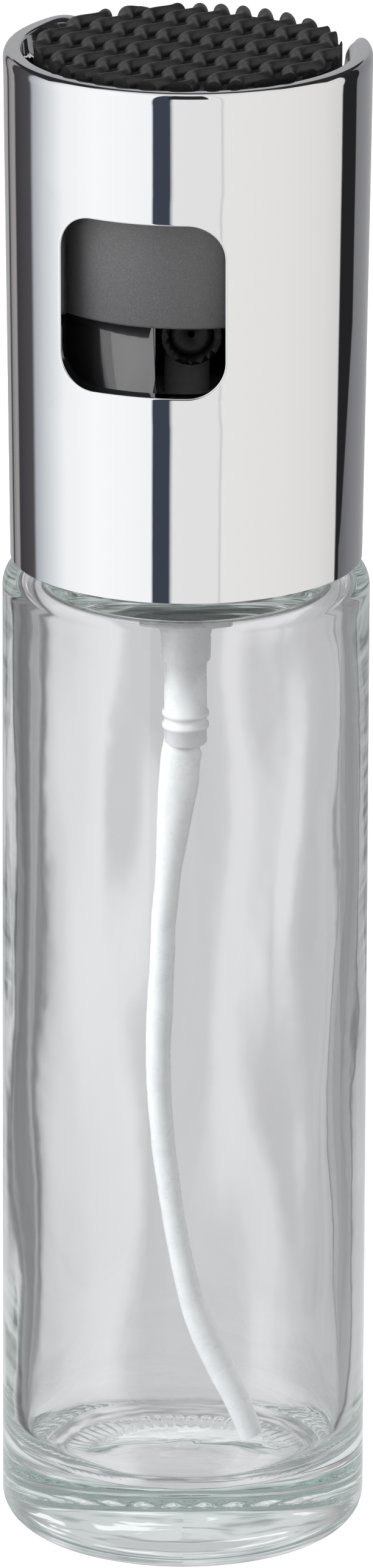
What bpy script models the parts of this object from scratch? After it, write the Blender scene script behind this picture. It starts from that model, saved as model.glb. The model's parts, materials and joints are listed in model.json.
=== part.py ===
"""Refillable oil sprayer: a glass bottle with a screw-on pump head under a plated sleeve.

The bottle stands on its base at z = 0 and every piece shares the bottle's axis. The spray window
in the sleeve faces -Y and the finger scoop in the sleeve's rim faces +Y. Sizes are millimetres.
"""

import math

import bmesh
import bpy
from mathutils import Matrix, Vector

MM = 0.001
MERGE_DISTANCE = 0.001 * MM

# Clearances
SEAT_GAP = 0.3          # between two pieces that rest on each other or slide in each other
STOP_CLEARANCE = 0.5    # left under the pressed button

# Glass bottle
BOTTLE_DIAMETER = 42.0
SHOULDER_HEIGHT = 116.6
BOTTLE_WALL = 3.0
FLOOR_THICKNESS = 9.0
SHOULDER_THICKNESS = 1.8
HEEL_RADIUS = 3.7
SHOULDER_RADIUS = 3.0
FLOOR_CORNER_RADIUS = 4.5
INNER_SHOULDER_RADIUS = 0.8
PUSH_UP = 1.2
DISH_SHARES = (0.6, 0.72)   # where the dish under the base turns, of its radius and of its rise
BEARING_WIDTH = 3.2
SHOULDER_WIDTH = 8.0
NECK_WALL = 2.5
NECK_HEIGHT = 13.4
NECK_ROOT_RADIUS = 1.0
LIP_RADIUS = 0.8

# Plated sleeve with its spray window and finger scoop
SLEEVE_HEIGHT = 60.0
SLEEVE_WALL = 2.05
SLEEVE_TOP_INSET = 0.05
SLEEVE_BOTTOM_INSET = 0.9
SHOULDER_CLEARANCE = 0.4
RIM_ROUND_WIDTH = 0.6
RIM_ROUND_HEIGHT = 1.15
SLEEVE_EDGE = 0.3
WINDOW_WIDTH = 19.2
WINDOW_HEIGHT = 20.1
WINDOW_CORNER_RADIUS = 4.0
WINDOW_SILL_BELOW_NOZZLE = 5.1
SCOOP_WIDTH = 37.6
SCOOP_DEPTH = 8.5
SCOOP_END_RADIUS = 3.6
SCOOP_STEPS = 20

# Screw closure and the guide barrel on it
THREAD_CLEARANCE = 1.1
COLLAR_WALL = 1.5
COLLAR_PLATE = 1.8
COLLAR_FOOT_HEIGHT = 1.2
COLLAR_RIBS = 12
COLLAR_RIB_THICKNESS = 1.2
BARREL_WALL = 1.3
BARREL_HEIGHT = 22.6
BARREL_FLANGE = 1.2
BARREL_FLANGE_WIDTH = 1.4
SLOT_WIDTH = 8.4

# Pump
GASKET_THICKNESS = 0.8
GASKET_INSET = 0.4
FLANGE_THICKNESS = 1.6
PUMP_BORE_DIAMETER = 7.8
PUMP_WALL = 1.2
GUIDE_RING_HEIGHT = 2.4
GUIDE_RING_STEP = 1.1
GUIDE_POCKET_FLOOR = 0.5
GUIDE_FLANGE = 1.0
SEAL_THICKNESS = 0.8
STEM_DIAMETER = 5.2
STEM_BORE_DIAMETER = 1.6
STEM_FLANGE = 1.4
STEM_REACH = 2.8
OUTLET_CHAMBER_DIAMETER = 3.4
OUTLET_CHAMBER_DEPTH = 5.7
OUTLET_BALL_DIAMETER = 2.4
OUTLET_WIRE_DIAMETER = 0.36
OUTLET_SPRING_TURNS = 4.5
PISTON_HEIGHT = 4.2
PISTON_LIP = 0.8
SPRING_LENGTH = 12.0
SPRING_WIRE_DIAMETER = 0.6
SPRING_TURNS = 6.5
RETAINER_THICKNESS = 1.5
INLET_BALL_DIAMETER = 2.8
INLET_BALL_LIFT = 0.8
INLET_BALL_PLAY = 0.5
INLET_PASSAGE_DIAMETER = 1.8
INLET_PASSAGE_LENGTH = 4.2
PUMP_FLOOR = 1.6
PUMP_FOOT_DIAMETER = 5.9
PUMP_FOOT_TAPER = 1.0
SOCKET_LENGTH = 9.0
SOCKET_WALL = 0.75
TAIL_BEAD = 0.25
TAIL_BEAD_HEIGHT = 0.8
TAIL_BEAD_SHARES = (0.25, 0.41)   # of the socket's length

# Dip tube: its route is given as shares of the height above the tip and of the tip's offset
TUBE_DIAMETER = 3.0
TUBE_BORE = 1.9
TUBE_TIP_CLEARANCE = 1.3
TUBE_FLOOR_CLEARANCE = 0.35
TUBE_TIP_LEAN = 0.5      # sine of the angle at which the tip meets the floor
TUBE_SWEEP_ANGLE = 106.0
TUBE_ROUTE_SHARES = (
    (1.00, -0.015), (0.93, -0.13), (0.80, -0.315), (0.71, -0.38), (0.53, -0.41),
    (0.36, -0.23), (0.17, 0.235), (0.00, 1.00),
)
TUBE_STEPS = 24
TUBE_SIDES = 10

# Push button
PRESS_TRAVEL = 5.0
NOZZLE_TURN = 18.3      # the pump and its nozzle are turned this far from the window's middle
CAP_CLEARANCE = 1.0
CAP_WALL = 1.25
CAP_TOP = 1.4
CAP_EDGE_RADIUS = 0.5
CAP_BOSS_WALL = 1.3
CAP_RIBS = 4
CAP_RIB_THICKNESS = 1.0
CAP_RIB_HEIGHT = 5.0
SKIRT_ABOVE_NOZZLE = 2.1
HUB_DIAMETER = 8.6
HUB_ABOVE_NOZZLE = 4.9
SPIGOT_DIAMETER = 6.0
SPIGOT_HEIGHT = 4.0
NOZZLE_ABOVE_HUB_BASE = 4.4
NOZZLE_BOSS_DIAMETER = 6.8
NOZZLE_DIAMETER = 4.6
NOZZLE_LENGTH = 3.0
NOZZLE_RECESS = 0.6
NOZZLE_DISH_DIAMETER = 3.0
ORIFICE_DIAMETER = 0.8
SWIRL_DIAMETER = 2.8
SWIRL_DEPTH = 1.6
CHANNEL_DIAMETER = 1.8
FACE_SETBACK = 3.2

# Rubber grip pad with its wavy ridges
PAD_PROUD = 0.6         # the ridges' tops above the sleeve's rim
PAD_BASE = 1.7
RIDGE_HEIGHT = 1.2
RIDGE_WIDTH = 1.85
RIDGE_PITCH = 2.845
RIDGE_SHIFT = 1.48      # the middle ridge from the pad's middle
RIDGE_SHARES = ((0.86, 0.6), (0.36, 1.0))   # a flank's share of the half width and of the height
RIDGE_WAVE_LENGTH = 7.18
RIDGE_WAVE_HEIGHT = 0.76
RIDGE_PHASE = 268.0
RIDGE_ANGLE = 77.9
RIDGE_STEPS_PER_WAVE = 6
RIDGE_ROOT = 0.3        # how far a ridge reaches into the pad's base

# Facets
FINE_STEPS = 60
RING_STEPS = 48
PUMP_STEPS = 24
SMALL_STEPS = 20
SPRING_STEPS = 9
CUT_MARGIN = 2.0


# Radii and heights that follow from the sizes above

BOTTLE_R = BOTTLE_DIAMETER / 2
NECK_R = BOTTLE_R - SHOULDER_WIDTH
NECK_BORE_R = NECK_R - NECK_WALL
NECK_TOP = SHOULDER_HEIGHT + NECK_HEIGHT

SLEEVE_BASE = SHOULDER_HEIGHT + SHOULDER_CLEARANCE
SLEEVE_TOP = SLEEVE_BASE + SLEEVE_HEIGHT
SLEEVE_TOP_R = BOTTLE_R - SLEEVE_TOP_INSET
SLEEVE_BASE_R = BOTTLE_R - SLEEVE_BOTTOM_INSET
SLEEVE_INNER_TOP_R = SLEEVE_TOP_R - SLEEVE_WALL
SLEEVE_INNER_BASE_R = SLEEVE_BASE_R - SLEEVE_WALL

GASKET_BASE = NECK_TOP + SEAT_GAP
GASKET_TOP = GASKET_BASE + GASKET_THICKNESS
FLANGE_BASE = GASKET_TOP + SEAT_GAP
FLANGE_TOP = FLANGE_BASE + FLANGE_THICKNESS
FLANGE_R = NECK_R - GASKET_INSET

COLLAR_BASE = SHOULDER_HEIGHT + 2 * SHOULDER_CLEARANCE
COLLAR_PLATE_BASE = FLANGE_TOP + SEAT_GAP
COLLAR_TOP = COLLAR_PLATE_BASE + COLLAR_PLATE
COLLAR_BORE_R = NECK_R + THREAD_CLEARANCE
COLLAR_R = COLLAR_BORE_R + COLLAR_WALL
COLLAR_RIB_R = SLEEVE_INNER_BASE_R - SEAT_GAP

STEM_R = STEM_DIAMETER / 2
GUIDE_BORE_R = STEM_R + SEAT_GAP
PUMP_BORE_R = PUMP_BORE_DIAMETER / 2
PUMP_R = PUMP_BORE_R + PUMP_WALL
POCKET_R = PUMP_BORE_R + GUIDE_RING_STEP
GUIDE_RING_R = POCKET_R + PUMP_WALL
GUIDE_RING_TOP = FLANGE_TOP + GUIDE_RING_HEIGHT
POCKET_FLOOR = FLANGE_BASE + GUIDE_POCKET_FLOOR
SEAL_BASE = POCKET_FLOOR + SEAT_GAP
SEAL_TOP = SEAL_BASE + SEAL_THICKNESS
GUIDE_BASE = SEAL_TOP + SEAT_GAP
GUIDE_FLANGE_BASE = GUIDE_RING_TOP + SEAT_GAP
GUIDE_TOP = GUIDE_FLANGE_BASE + GUIDE_FLANGE

HUB_BASE = GUIDE_TOP + PRESS_TRAVEL + STOP_CLEARANCE
NOZZLE_HEIGHT = HUB_BASE + NOZZLE_ABOVE_HUB_BASE
HUB_TOP = NOZZLE_HEIGHT + HUB_ABOVE_NOZZLE
STEM_TOP = HUB_BASE + STEM_REACH
STEM_FLANGE_TOP = SEAL_BASE - SEAT_GAP
STEM_FLANGE_BASE = STEM_FLANGE_TOP - STEM_FLANGE
STEM_BASE = STEM_FLANGE_BASE - SEAT_GAP - PISTON_HEIGHT
OUTLET_SEAT = STEM_TOP - OUTLET_CHAMBER_DEPTH

PISTON_TOP = STEM_FLANGE_BASE - SEAT_GAP
PISTON_BASE = PISTON_TOP - PISTON_HEIGHT
PISTON_R = PUMP_BORE_R - SEAT_GAP
STEM_SPIGOT_R = PISTON_R / 2
SPIGOT_R = SPIGOT_DIAMETER / 2
SPRING_TOP = PISTON_BASE - SEAT_GAP
SPRING_BASE = SPRING_TOP - SPRING_LENGTH
RETAINER_TOP = SPRING_BASE - SEAT_GAP
RETAINER_BASE = RETAINER_TOP - RETAINER_THICKNESS
PUMP_BORE_FLOOR = RETAINER_BASE - SEAT_GAP
INLET_BALL_R = INLET_BALL_DIAMETER / 2
INLET_BALL_Z = RETAINER_BASE - SEAT_GAP - INLET_BALL_LIFT - INLET_BALL_R
INLET_CAVITY_R = INLET_BALL_R + INLET_BALL_PLAY
INLET_PASSAGE_R = INLET_PASSAGE_DIAMETER / 2
SEAT_CONE_DROP = (INLET_BALL_R + SEAT_GAP) * math.sqrt(2)
INLET_SEAT_BASE = INLET_BALL_Z - SEAT_CONE_DROP + INLET_PASSAGE_R
INLET_SEAT_TOP = INLET_BALL_Z - SEAT_CONE_DROP + INLET_CAVITY_R
TUBE_R = TUBE_DIAMETER / 2
SOCKET_TOP = INLET_SEAT_BASE - INLET_PASSAGE_LENGTH
SOCKET_BASE = SOCKET_TOP - SOCKET_LENGTH
SOCKET_R = TUBE_R + SEAT_GAP
TAIL_R = SOCKET_R + SOCKET_WALL

BARREL_BASE = COLLAR_TOP + SEAT_GAP
BARREL_TOP = BARREL_BASE + BARREL_HEIGHT
SKIRT_BASE = NOZZLE_HEIGHT + SKIRT_ABOVE_NOZZLE
PAD_TOP = SLEEVE_TOP + PAD_PROUD
PAD_BASE_TOP = PAD_TOP - RIDGE_HEIGHT
PAD_UNDERSIDE = PAD_BASE_TOP - PAD_BASE
CAP_HEIGHT = PAD_UNDERSIDE - SEAT_GAP
CAP_CEILING = CAP_HEIGHT - CAP_TOP


def sleeve_inner_radius(z):
    """The sleeve tapers, so its inner radius depends on the height."""
    share = (z - SLEEVE_BASE) / SLEEVE_HEIGHT
    return SLEEVE_INNER_BASE_R + share * (SLEEVE_INNER_TOP_R - SLEEVE_INNER_BASE_R)


CAP_R = sleeve_inner_radius(SKIRT_BASE - PRESS_TRAVEL) - CAP_CLEARANCE
CAP_INNER_R = CAP_R - CAP_WALL
PAD_R = CAP_R
BARREL_R = CAP_INNER_R - SEAT_GAP
BARREL_INNER_R = BARREL_R - BARREL_WALL
NOZZLE_REACH = BARREL_R - FACE_SETBACK
SLOT_BASE = NOZZLE_HEIGHT - PRESS_TRAVEL - NOZZLE_BOSS_DIAMETER / 2 - STOP_CLEARANCE
WINDOW_SILL = NOZZLE_HEIGHT - WINDOW_SILL_BELOW_NOZZLE


# Materials

def finish(name, color, roughness, metallic=0.0, transmission=0.0):
    material = bpy.data.materials.new(name)
    material.use_nodes = True
    shader = material.node_tree.nodes["Principled BSDF"]
    shader.inputs["Base Color"].default_value = (*color, 1.0)
    shader.inputs["Roughness"].default_value = roughness
    shader.inputs["Metallic"].default_value = metallic
    shader.inputs["Transmission Weight"].default_value = transmission
    material.diffuse_color = (*color, 1.0)
    return material


# Outlines and solids

def arc(r, z, radius, start, end, steps=4):
    """Points on a round corner about (r, z), from one angle to another in degrees."""
    points = []
    for i in range(steps + 1):
        angle = math.radians(start + (end - start) * i / steps)
        points.append((r + radius * math.cos(angle), z + radius * math.sin(angle)))
    return points


def place(name, mesh, material, turn=0.0):
    mesh.materials.append(material)
    piece = bpy.data.objects.new(name, mesh)
    piece.rotation_euler.z = math.radians(turn)
    bpy.context.scene.collection.objects.link(piece)
    return piece


def mesh_from(name, bm):
    bmesh.ops.recalc_face_normals(bm, faces=bm.faces)
    mesh = bpy.data.meshes.new(name)
    bm.to_mesh(mesh)
    bm.free()
    return mesh


def shade(mesh, sharp_angle=35.0):
    mesh.shade_smooth()
    mesh.set_sharp_from_angle(angle=math.radians(sharp_angle))


def turned_mesh(name, outline, steps):
    """Spin a (radius, height) outline about Z: a closed loop, or a chain from axis to axis."""
    bm = bmesh.new()
    verts = [bm.verts.new((r * MM, 0.0, z * MM)) for r, z in outline]
    edges = [bm.edges.new(pair) for pair in zip(verts, verts[1:])]
    on_axis = outline[0][0] == 0.0 and outline[-1][0] == 0.0
    if not on_axis:
        edges.append(bm.edges.new((verts[-1], verts[0])))
    bmesh.ops.spin(
        bm, geom=verts + edges, cent=(0.0, 0.0, 0.0), axis=(0.0, 0.0, 1.0),
        angle=2 * math.pi, steps=steps, use_merge=True,
    )
    bmesh.ops.remove_doubles(bm, verts=bm.verts, dist=MERGE_DISTANCE)
    mesh = mesh_from(name, bm)
    shade(mesh)
    return mesh


def turned(name, outline, steps, material, turn=0.0):
    return place(name, turned_mesh(name, outline, steps), material, turn)


def prism_mesh(name, outline, start, end):
    """Extrude an (x, z) outline along Y between two places."""
    bm = bmesh.new()
    verts = [bm.verts.new((x * MM, start * MM, z * MM)) for x, z in outline]
    face = bm.faces.new(verts)
    grown = bmesh.ops.extrude_face_region(bm, geom=[face])
    moved = [item for item in grown["geom"] if isinstance(item, bmesh.types.BMVert)]
    bmesh.ops.translate(bm, verts=moved, vec=(0.0, (end - start) * MM, 0.0))
    return mesh_from(name, bm)


def rod_mesh(name, radius, low, high, steps):
    return turned_mesh(name, [(0.0, low), (radius, low), (radius, high), (0.0, high)], steps)


def block_mesh(name, low, high):
    bm = bmesh.new()
    bmesh.ops.create_cube(bm, size=1.0)
    size = [(b - a) * MM for a, b in zip(low, high)]
    middle = [(a + b) / 2 * MM for a, b in zip(low, high)]
    bmesh.ops.scale(bm, verts=bm.verts, vec=size)
    bmesh.ops.translate(bm, verts=bm.verts, vec=middle)
    return mesh_from(name, bm)


def joined_mesh(name, parts):
    """One mesh from several meshes, each with the matrix that places it."""
    bm = bmesh.new()
    for mesh, matrix in parts:
        copy = mesh.copy()
        copy.transform(matrix)
        bm.from_mesh(copy)
    mesh = bpy.data.meshes.new(name)
    bm.to_mesh(mesh)
    bm.free()
    return mesh


def shaping(target, operation, mesh, turn=0.0):
    """Cut a solid from the target, add one to it, or keep what they share."""
    tool = bpy.data.objects.new(f"{target.name}_tool", mesh)
    tool.rotation_euler.z = math.radians(turn)
    tool.hide_render = True
    tool.display_type = "WIRE"
    bpy.context.scene.collection.objects.link(tool)
    step = target.modifiers.new(operation.title(), "BOOLEAN")
    step.operation = operation
    step.object = tool


def lying(mesh):
    """Turn a solid that stands on Z so that its +Z end points to -Y at the nozzle's height."""
    upright = Matrix.Rotation(math.radians(90.0), 4, "X")
    mesh.transform(Matrix.Translation((0.0, 0.0, NOZZLE_HEIGHT * MM)) @ upright)
    return mesh


# Bottle

def glass_bottle(material):
    bearing_r = BOTTLE_R - HEEL_RADIUS
    inner_r = BOTTLE_R - BOTTLE_WALL
    ceiling = SHOULDER_HEIGHT - SHOULDER_THICKNESS
    outline = [
        (0.0, PUSH_UP),
        ((bearing_r - BEARING_WIDTH) * DISH_SHARES[0], PUSH_UP * DISH_SHARES[1]),
        (bearing_r - BEARING_WIDTH, 0.0),
    ]
    outline += arc(bearing_r, HEEL_RADIUS, HEEL_RADIUS, -90, 0)
    outline += arc(BOTTLE_R - SHOULDER_RADIUS, SHOULDER_HEIGHT - SHOULDER_RADIUS, SHOULDER_RADIUS, 0, 90)
    root = NECK_ROOT_RADIUS
    outline += arc(NECK_R + root, SHOULDER_HEIGHT + root, root, 270, 180, 2)
    outline += arc(NECK_R - LIP_RADIUS, NECK_TOP - LIP_RADIUS, LIP_RADIUS, 0, 90, 2)
    outline += arc(NECK_BORE_R + LIP_RADIUS, NECK_TOP - LIP_RADIUS, LIP_RADIUS, 90, 180, 2)
    outline += arc(NECK_BORE_R + LIP_RADIUS, ceiling + LIP_RADIUS, LIP_RADIUS, 180, 270, 2)
    shoulder = INNER_SHOULDER_RADIUS
    outline += arc(inner_r - shoulder, ceiling - shoulder, shoulder, 90, 0, 3)
    corner_z = FLOOR_THICKNESS + FLOOR_CORNER_RADIUS
    outline += arc(inner_r - FLOOR_CORNER_RADIUS, corner_z, FLOOR_CORNER_RADIUS, 0, -90, 3)
    outline.append((0.0, FLOOR_THICKNESS))
    turned("glass_bottle", outline, FINE_STEPS, material)


def neck_gasket(material):
    outline = [
        (NECK_BORE_R, GASKET_BASE), (FLANGE_R, GASKET_BASE),
        (FLANGE_R, GASKET_TOP), (NECK_BORE_R, GASKET_TOP),
    ]
    turned("neck_gasket", outline, RING_STEPS, material)


# Sleeve, closure and guide barrel

def rounded_window():
    half_width = WINDOW_WIDTH / 2 - WINDOW_CORNER_RADIUS
    low = WINDOW_SILL + WINDOW_CORNER_RADIUS
    high = WINDOW_SILL + WINDOW_HEIGHT - WINDOW_CORNER_RADIUS
    corners = (
        (half_width, low, -90), (half_width, high, 0), (-half_width, high, 90), (-half_width, low, 180),
    )
    outline = []
    for x, z, start in corners:
        outline += arc(x, z, WINDOW_CORNER_RADIUS, start, start + 90, 5)
    return outline


def scoop_outline():
    """Half an ellipse below the rim whose two ends roll over into the rim."""
    half = SCOOP_WIDTH / 2
    dip_half = half - SCOOP_END_RADIUS
    end_z = SLEEVE_TOP - SCOOP_END_RADIUS
    drop = SCOOP_DEPTH - SCOOP_END_RADIUS
    high = SLEEVE_TOP + CUT_MARGIN
    outline = [(-half, high)] + arc(-half, end_z, SCOOP_END_RADIUS, 90, 0, 5)
    for i in range(1, SCOOP_STEPS):
        angle = math.pi * (1.0 + i / SCOOP_STEPS)
        outline.append((dip_half * math.cos(angle), end_z + drop * math.sin(angle)))
    outline += arc(half, end_z, SCOOP_END_RADIUS, 180, 90, 5)
    return outline + [(half, high)]


def chrome_sleeve(material):
    outline = [
        (SLEEVE_INNER_BASE_R + SLEEVE_EDGE, SLEEVE_BASE),
        (SLEEVE_BASE_R - SLEEVE_EDGE, SLEEVE_BASE),
        (SLEEVE_BASE_R, SLEEVE_BASE + SLEEVE_EDGE),
    ]
    for i in range(5):
        angle = math.radians(90.0 * i / 4)
        outline.append((
            SLEEVE_TOP_R - RIM_ROUND_WIDTH * (1.0 - math.cos(angle)),
            SLEEVE_TOP - RIM_ROUND_HEIGHT * (1.0 - math.sin(angle)),
        ))
    outline += [
        (SLEEVE_INNER_TOP_R + SLEEVE_EDGE, SLEEVE_TOP),
        (SLEEVE_INNER_TOP_R, SLEEVE_TOP - SLEEVE_EDGE),
        (SLEEVE_INNER_BASE_R, SLEEVE_BASE + SLEEVE_EDGE),
    ]
    sleeve = turned("chrome_sleeve", outline, FINE_STEPS, material)
    outside = BOTTLE_R + CUT_MARGIN
    inside = math.sqrt(SLEEVE_INNER_BASE_R ** 2 - (WINDOW_WIDTH / 2) ** 2) - CUT_MARGIN
    shaping(sleeve, "DIFFERENCE", prism_mesh("spray_window", rounded_window(), -outside, -inside))
    shaping(sleeve, "DIFFERENCE", prism_mesh("finger_scoop", scoop_outline(), 0.0, outside))


def closure_collar(material):
    hole_r = GUIDE_RING_R + SEAT_GAP
    foot_top = COLLAR_BASE + COLLAR_FOOT_HEIGHT
    outline = [
        (COLLAR_BORE_R, COLLAR_BASE), (COLLAR_RIB_R, COLLAR_BASE), (COLLAR_RIB_R, foot_top),
        (COLLAR_R, foot_top), (COLLAR_R, COLLAR_TOP), (hole_r, COLLAR_TOP),
        (hole_r, COLLAR_PLATE_BASE), (COLLAR_BORE_R, COLLAR_PLATE_BASE),
    ]
    collar = turned("closure_collar", outline, RING_STEPS, material)
    half = COLLAR_RIB_THICKNESS / 2
    inner = (COLLAR_R + COLLAR_BORE_R) / 2
    middle = (COLLAR_BASE + foot_top) / 2
    rib_end = (COLLAR_RIB_R - SEAT_GAP, half, COLLAR_PLATE_BASE - SEAT_GAP)
    rib = block_mesh("collar_rib", (inner, -half, middle), rib_end)
    turns = [Matrix.Rotation(2 * math.pi * (i + 0.5) / COLLAR_RIBS, 4, "Z") for i in range(COLLAR_RIBS)]
    shaping(collar, "UNION", joined_mesh("collar_ribs", [(rib, turn) for turn in turns]))


def inner_barrel(material):
    flange_r = BARREL_R + BARREL_FLANGE_WIDTH
    flange_top = BARREL_BASE + BARREL_FLANGE
    edge = BARREL_WALL / 3
    outline = [
        (BARREL_INNER_R, BARREL_BASE), (flange_r, BARREL_BASE), (flange_r, flange_top),
        (BARREL_R, flange_top), (BARREL_R, BARREL_TOP - edge), (BARREL_R - edge, BARREL_TOP),
        (BARREL_INNER_R, BARREL_TOP),
    ]
    barrel = turned("inner_barrel", outline, FINE_STEPS, material, NOZZLE_TURN)
    half = SLOT_WIDTH / 2
    low = SLOT_BASE + half
    high = BARREL_TOP + CUT_MARGIN
    slot = arc(0.0, low, half, 180, 360, 10) + [(half, high), (-half, high)]
    cut = prism_mesh("nozzle_slot", slot, -(BARREL_R + CUT_MARGIN), -(BARREL_INNER_R - CUT_MARGIN))
    shaping(barrel, "DIFFERENCE", cut, NOZZLE_TURN)


# Pump

def tail_bead(z):
    """A small ring round the tube socket, from below upwards."""
    half = TAIL_BEAD_HEIGHT / 2
    crest = TAIL_R + TAIL_BEAD
    return [(TAIL_R, z - half), (crest, z - half / 2), (crest, z + half / 2), (TAIL_R, z + half)]


def pump_housing(material):
    foot_r = PUMP_FOOT_DIAMETER / 2
    foot_top = PUMP_BORE_FLOOR - PUMP_FLOOR
    foot_base = SOCKET_TOP + TAIL_BEAD_HEIGHT
    outline = [(SOCKET_R, SOCKET_BASE), (TAIL_R - TAIL_BEAD, SOCKET_BASE), (TAIL_R, SOCKET_BASE + TAIL_BEAD)]
    for share in TAIL_BEAD_SHARES:
        outline += tail_bead(SOCKET_BASE + share * SOCKET_LENGTH)
    outline += [
        (TAIL_R, foot_base - TAIL_BEAD), (foot_r, foot_base), (foot_r, foot_top),
        (PUMP_R, foot_top + PUMP_FOOT_TAPER), (PUMP_R, FLANGE_BASE),
        (FLANGE_R, FLANGE_BASE), (FLANGE_R, FLANGE_TOP),
        (GUIDE_RING_R, FLANGE_TOP), (GUIDE_RING_R, GUIDE_RING_TOP),
        (POCKET_R, GUIDE_RING_TOP), (POCKET_R, POCKET_FLOOR),
        (PUMP_BORE_R, POCKET_FLOOR), (PUMP_BORE_R, PUMP_BORE_FLOOR),
        (INLET_CAVITY_R, PUMP_BORE_FLOOR), (INLET_CAVITY_R, INLET_SEAT_TOP),
        (INLET_PASSAGE_R, INLET_SEAT_BASE), (INLET_PASSAGE_R, SOCKET_TOP),
        (SOCKET_R, SOCKET_TOP),
    ]
    turned("pump_housing", outline, PUMP_STEPS, material)


def stem_guide(material):
    plug_r = POCKET_R - SEAT_GAP
    outline = [
        (GUIDE_BORE_R, GUIDE_BASE), (plug_r, GUIDE_BASE), (plug_r, GUIDE_FLANGE_BASE),
        (GUIDE_RING_R, GUIDE_FLANGE_BASE), (GUIDE_RING_R, GUIDE_TOP), (GUIDE_BORE_R, GUIDE_TOP),
    ]
    turned("stem_guide", outline, PUMP_STEPS, material)


def stem_seal(material):
    outer = POCKET_R - SEAT_GAP
    outline = [(GUIDE_BORE_R, SEAL_BASE), (outer, SEAL_BASE), (outer, SEAL_TOP), (GUIDE_BORE_R, SEAL_TOP)]
    turned("stem_seal", outline, PUMP_STEPS, material)


def pump_stem(material):
    bore_r = STEM_BORE_DIAMETER / 2
    chamber_r = OUTLET_CHAMBER_DIAMETER / 2
    outline = [
        (bore_r, STEM_BASE), (STEM_SPIGOT_R, STEM_BASE), (STEM_SPIGOT_R, STEM_FLANGE_BASE),
        (PISTON_R, STEM_FLANGE_BASE), (PISTON_R, STEM_FLANGE_TOP), (STEM_R, STEM_FLANGE_TOP),
        (STEM_R, STEM_TOP), (chamber_r, STEM_TOP), (chamber_r, OUTLET_SEAT), (bore_r, OUTLET_SEAT),
    ]
    turned("pump_stem", outline, PUMP_STEPS, material)


def piston(material):
    bore_r = STEM_SPIGOT_R + SEAT_GAP
    waist_r = PISTON_R - PISTON_LIP / 2
    outline = [
        (bore_r, PISTON_BASE), (PISTON_R, PISTON_BASE), (PISTON_R, PISTON_BASE + PISTON_LIP),
        (waist_r, PISTON_BASE + 2 * PISTON_LIP), (waist_r, PISTON_TOP - 2 * PISTON_LIP),
        (PISTON_R, PISTON_TOP - PISTON_LIP), (PISTON_R, PISTON_TOP), (bore_r, PISTON_TOP),
    ]
    turned("piston", outline, PUMP_STEPS, material)


def ball_retainer(material):
    outline = [
        (INLET_PASSAGE_R, RETAINER_BASE), (PISTON_R, RETAINER_BASE),
        (PISTON_R, RETAINER_TOP), (INLET_PASSAGE_R, RETAINER_TOP),
    ]
    turned("ball_retainer", outline, PUMP_STEPS, material)


def valve_ball(name, radius, z, material):
    bm = bmesh.new()
    place_at = Matrix.Translation((0.0, 0.0, z * MM))
    bmesh.ops.create_icosphere(bm, subdivisions=2, radius=radius * MM, matrix=place_at)
    mesh = mesh_from(name, bm)
    mesh.shade_smooth()
    place(name, mesh, material)


def least_gap(points, wire, apart):
    """The smallest free distance between stretches of wire that lie on different turns."""
    gaps = []
    for i, a in enumerate(points):
        gaps += [(a - b).length - wire for b in points[i + apart:]]
    return min(gaps)


def coil_spring(name, radius, wire, low, high, turns, material):
    """An open-ended compression spring, whose wire runs straight at both ends."""
    count = round(turns * SPRING_STEPS)
    rise = (high - low - wire) / count
    points = []
    for i in range(count + 1):
        angle = 2 * math.pi * i / SPRING_STEPS
        z = low + wire / 2 + rise * i
        points.append(Vector((radius * math.cos(angle), radius * math.sin(angle), z)))
    for end, inner in ((0, 1), (-1, -2)):
        run = points[end] - points[inner]
        run.z = 0.0
        straight = points[end] + run.normalized() * wire
        points.insert(0 if end == 0 else len(points), straight)
    print(f"{name}: least gap between turns {least_gap(points, wire, SPRING_STEPS - 2):.2f} mm")
    curve = bpy.data.curves.new(name, "CURVE")
    curve.dimensions = "3D"
    curve.bevel_depth = wire / 2 * MM
    curve.bevel_resolution = 1
    curve.use_fill_caps = True
    spline = curve.splines.new("POLY")
    spline.points.add(len(points) - 1)
    for spot, point in zip(spline.points, points):
        spot.co = (*(point * MM), 1.0)
    curve.materials.append(material)
    bpy.context.scene.collection.objects.link(bpy.data.objects.new(name, curve))


def return_spring(material):
    wire = SPRING_WIRE_DIAMETER
    coil_spring("return_spring", PISTON_R - wire, wire, SPRING_BASE, SPRING_TOP, SPRING_TURNS, material)


def outlet_ball_height():
    """The ball rests on the mouth of the stem's bore."""
    reach = OUTLET_BALL_DIAMETER / 2 + SEAT_GAP
    return OUTLET_SEAT + math.sqrt(reach ** 2 - (STEM_BORE_DIAMETER / 2) ** 2)


def outlet_spring(material):
    low = outlet_ball_height() + OUTLET_BALL_DIAMETER / 2 + SEAT_GAP
    radius = (OUTLET_CHAMBER_DIAMETER - OUTLET_WIRE_DIAMETER) / 2 - SEAT_GAP
    high = chamber_top() - SEAT_GAP
    coil_spring("outlet_spring", radius, OUTLET_WIRE_DIAMETER, low, high, OUTLET_SPRING_TURNS, material)


def route_offset(share):
    """The dip tube's offset at a share of its height, on a smooth curve through the route."""
    route = TUBE_ROUTE_SHARES[::-1]
    last = len(route) - 1
    i = max(k for k in range(last) if route[k][0] <= share)
    (x1, y1), (x2, y2) = route[i], route[i + 1]
    x0, y0 = route[max(i - 1, 0)]
    x3, y3 = route[min(i + 2, last)]
    slope1 = (y2 - y0) / (x2 - x0)
    slope2 = (y3 - y1) / (x3 - x1) if i + 2 <= last else 0.0
    span = x2 - x1
    t = (share - x1) / span
    return (
        (2 * t ** 3 - 3 * t ** 2 + 1) * y1 + (t ** 3 - 2 * t ** 2 + t) * span * slope1
        + (3 * t ** 2 - 2 * t ** 3) * y2 + (t ** 3 - t ** 2) * span * slope2
    )


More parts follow.
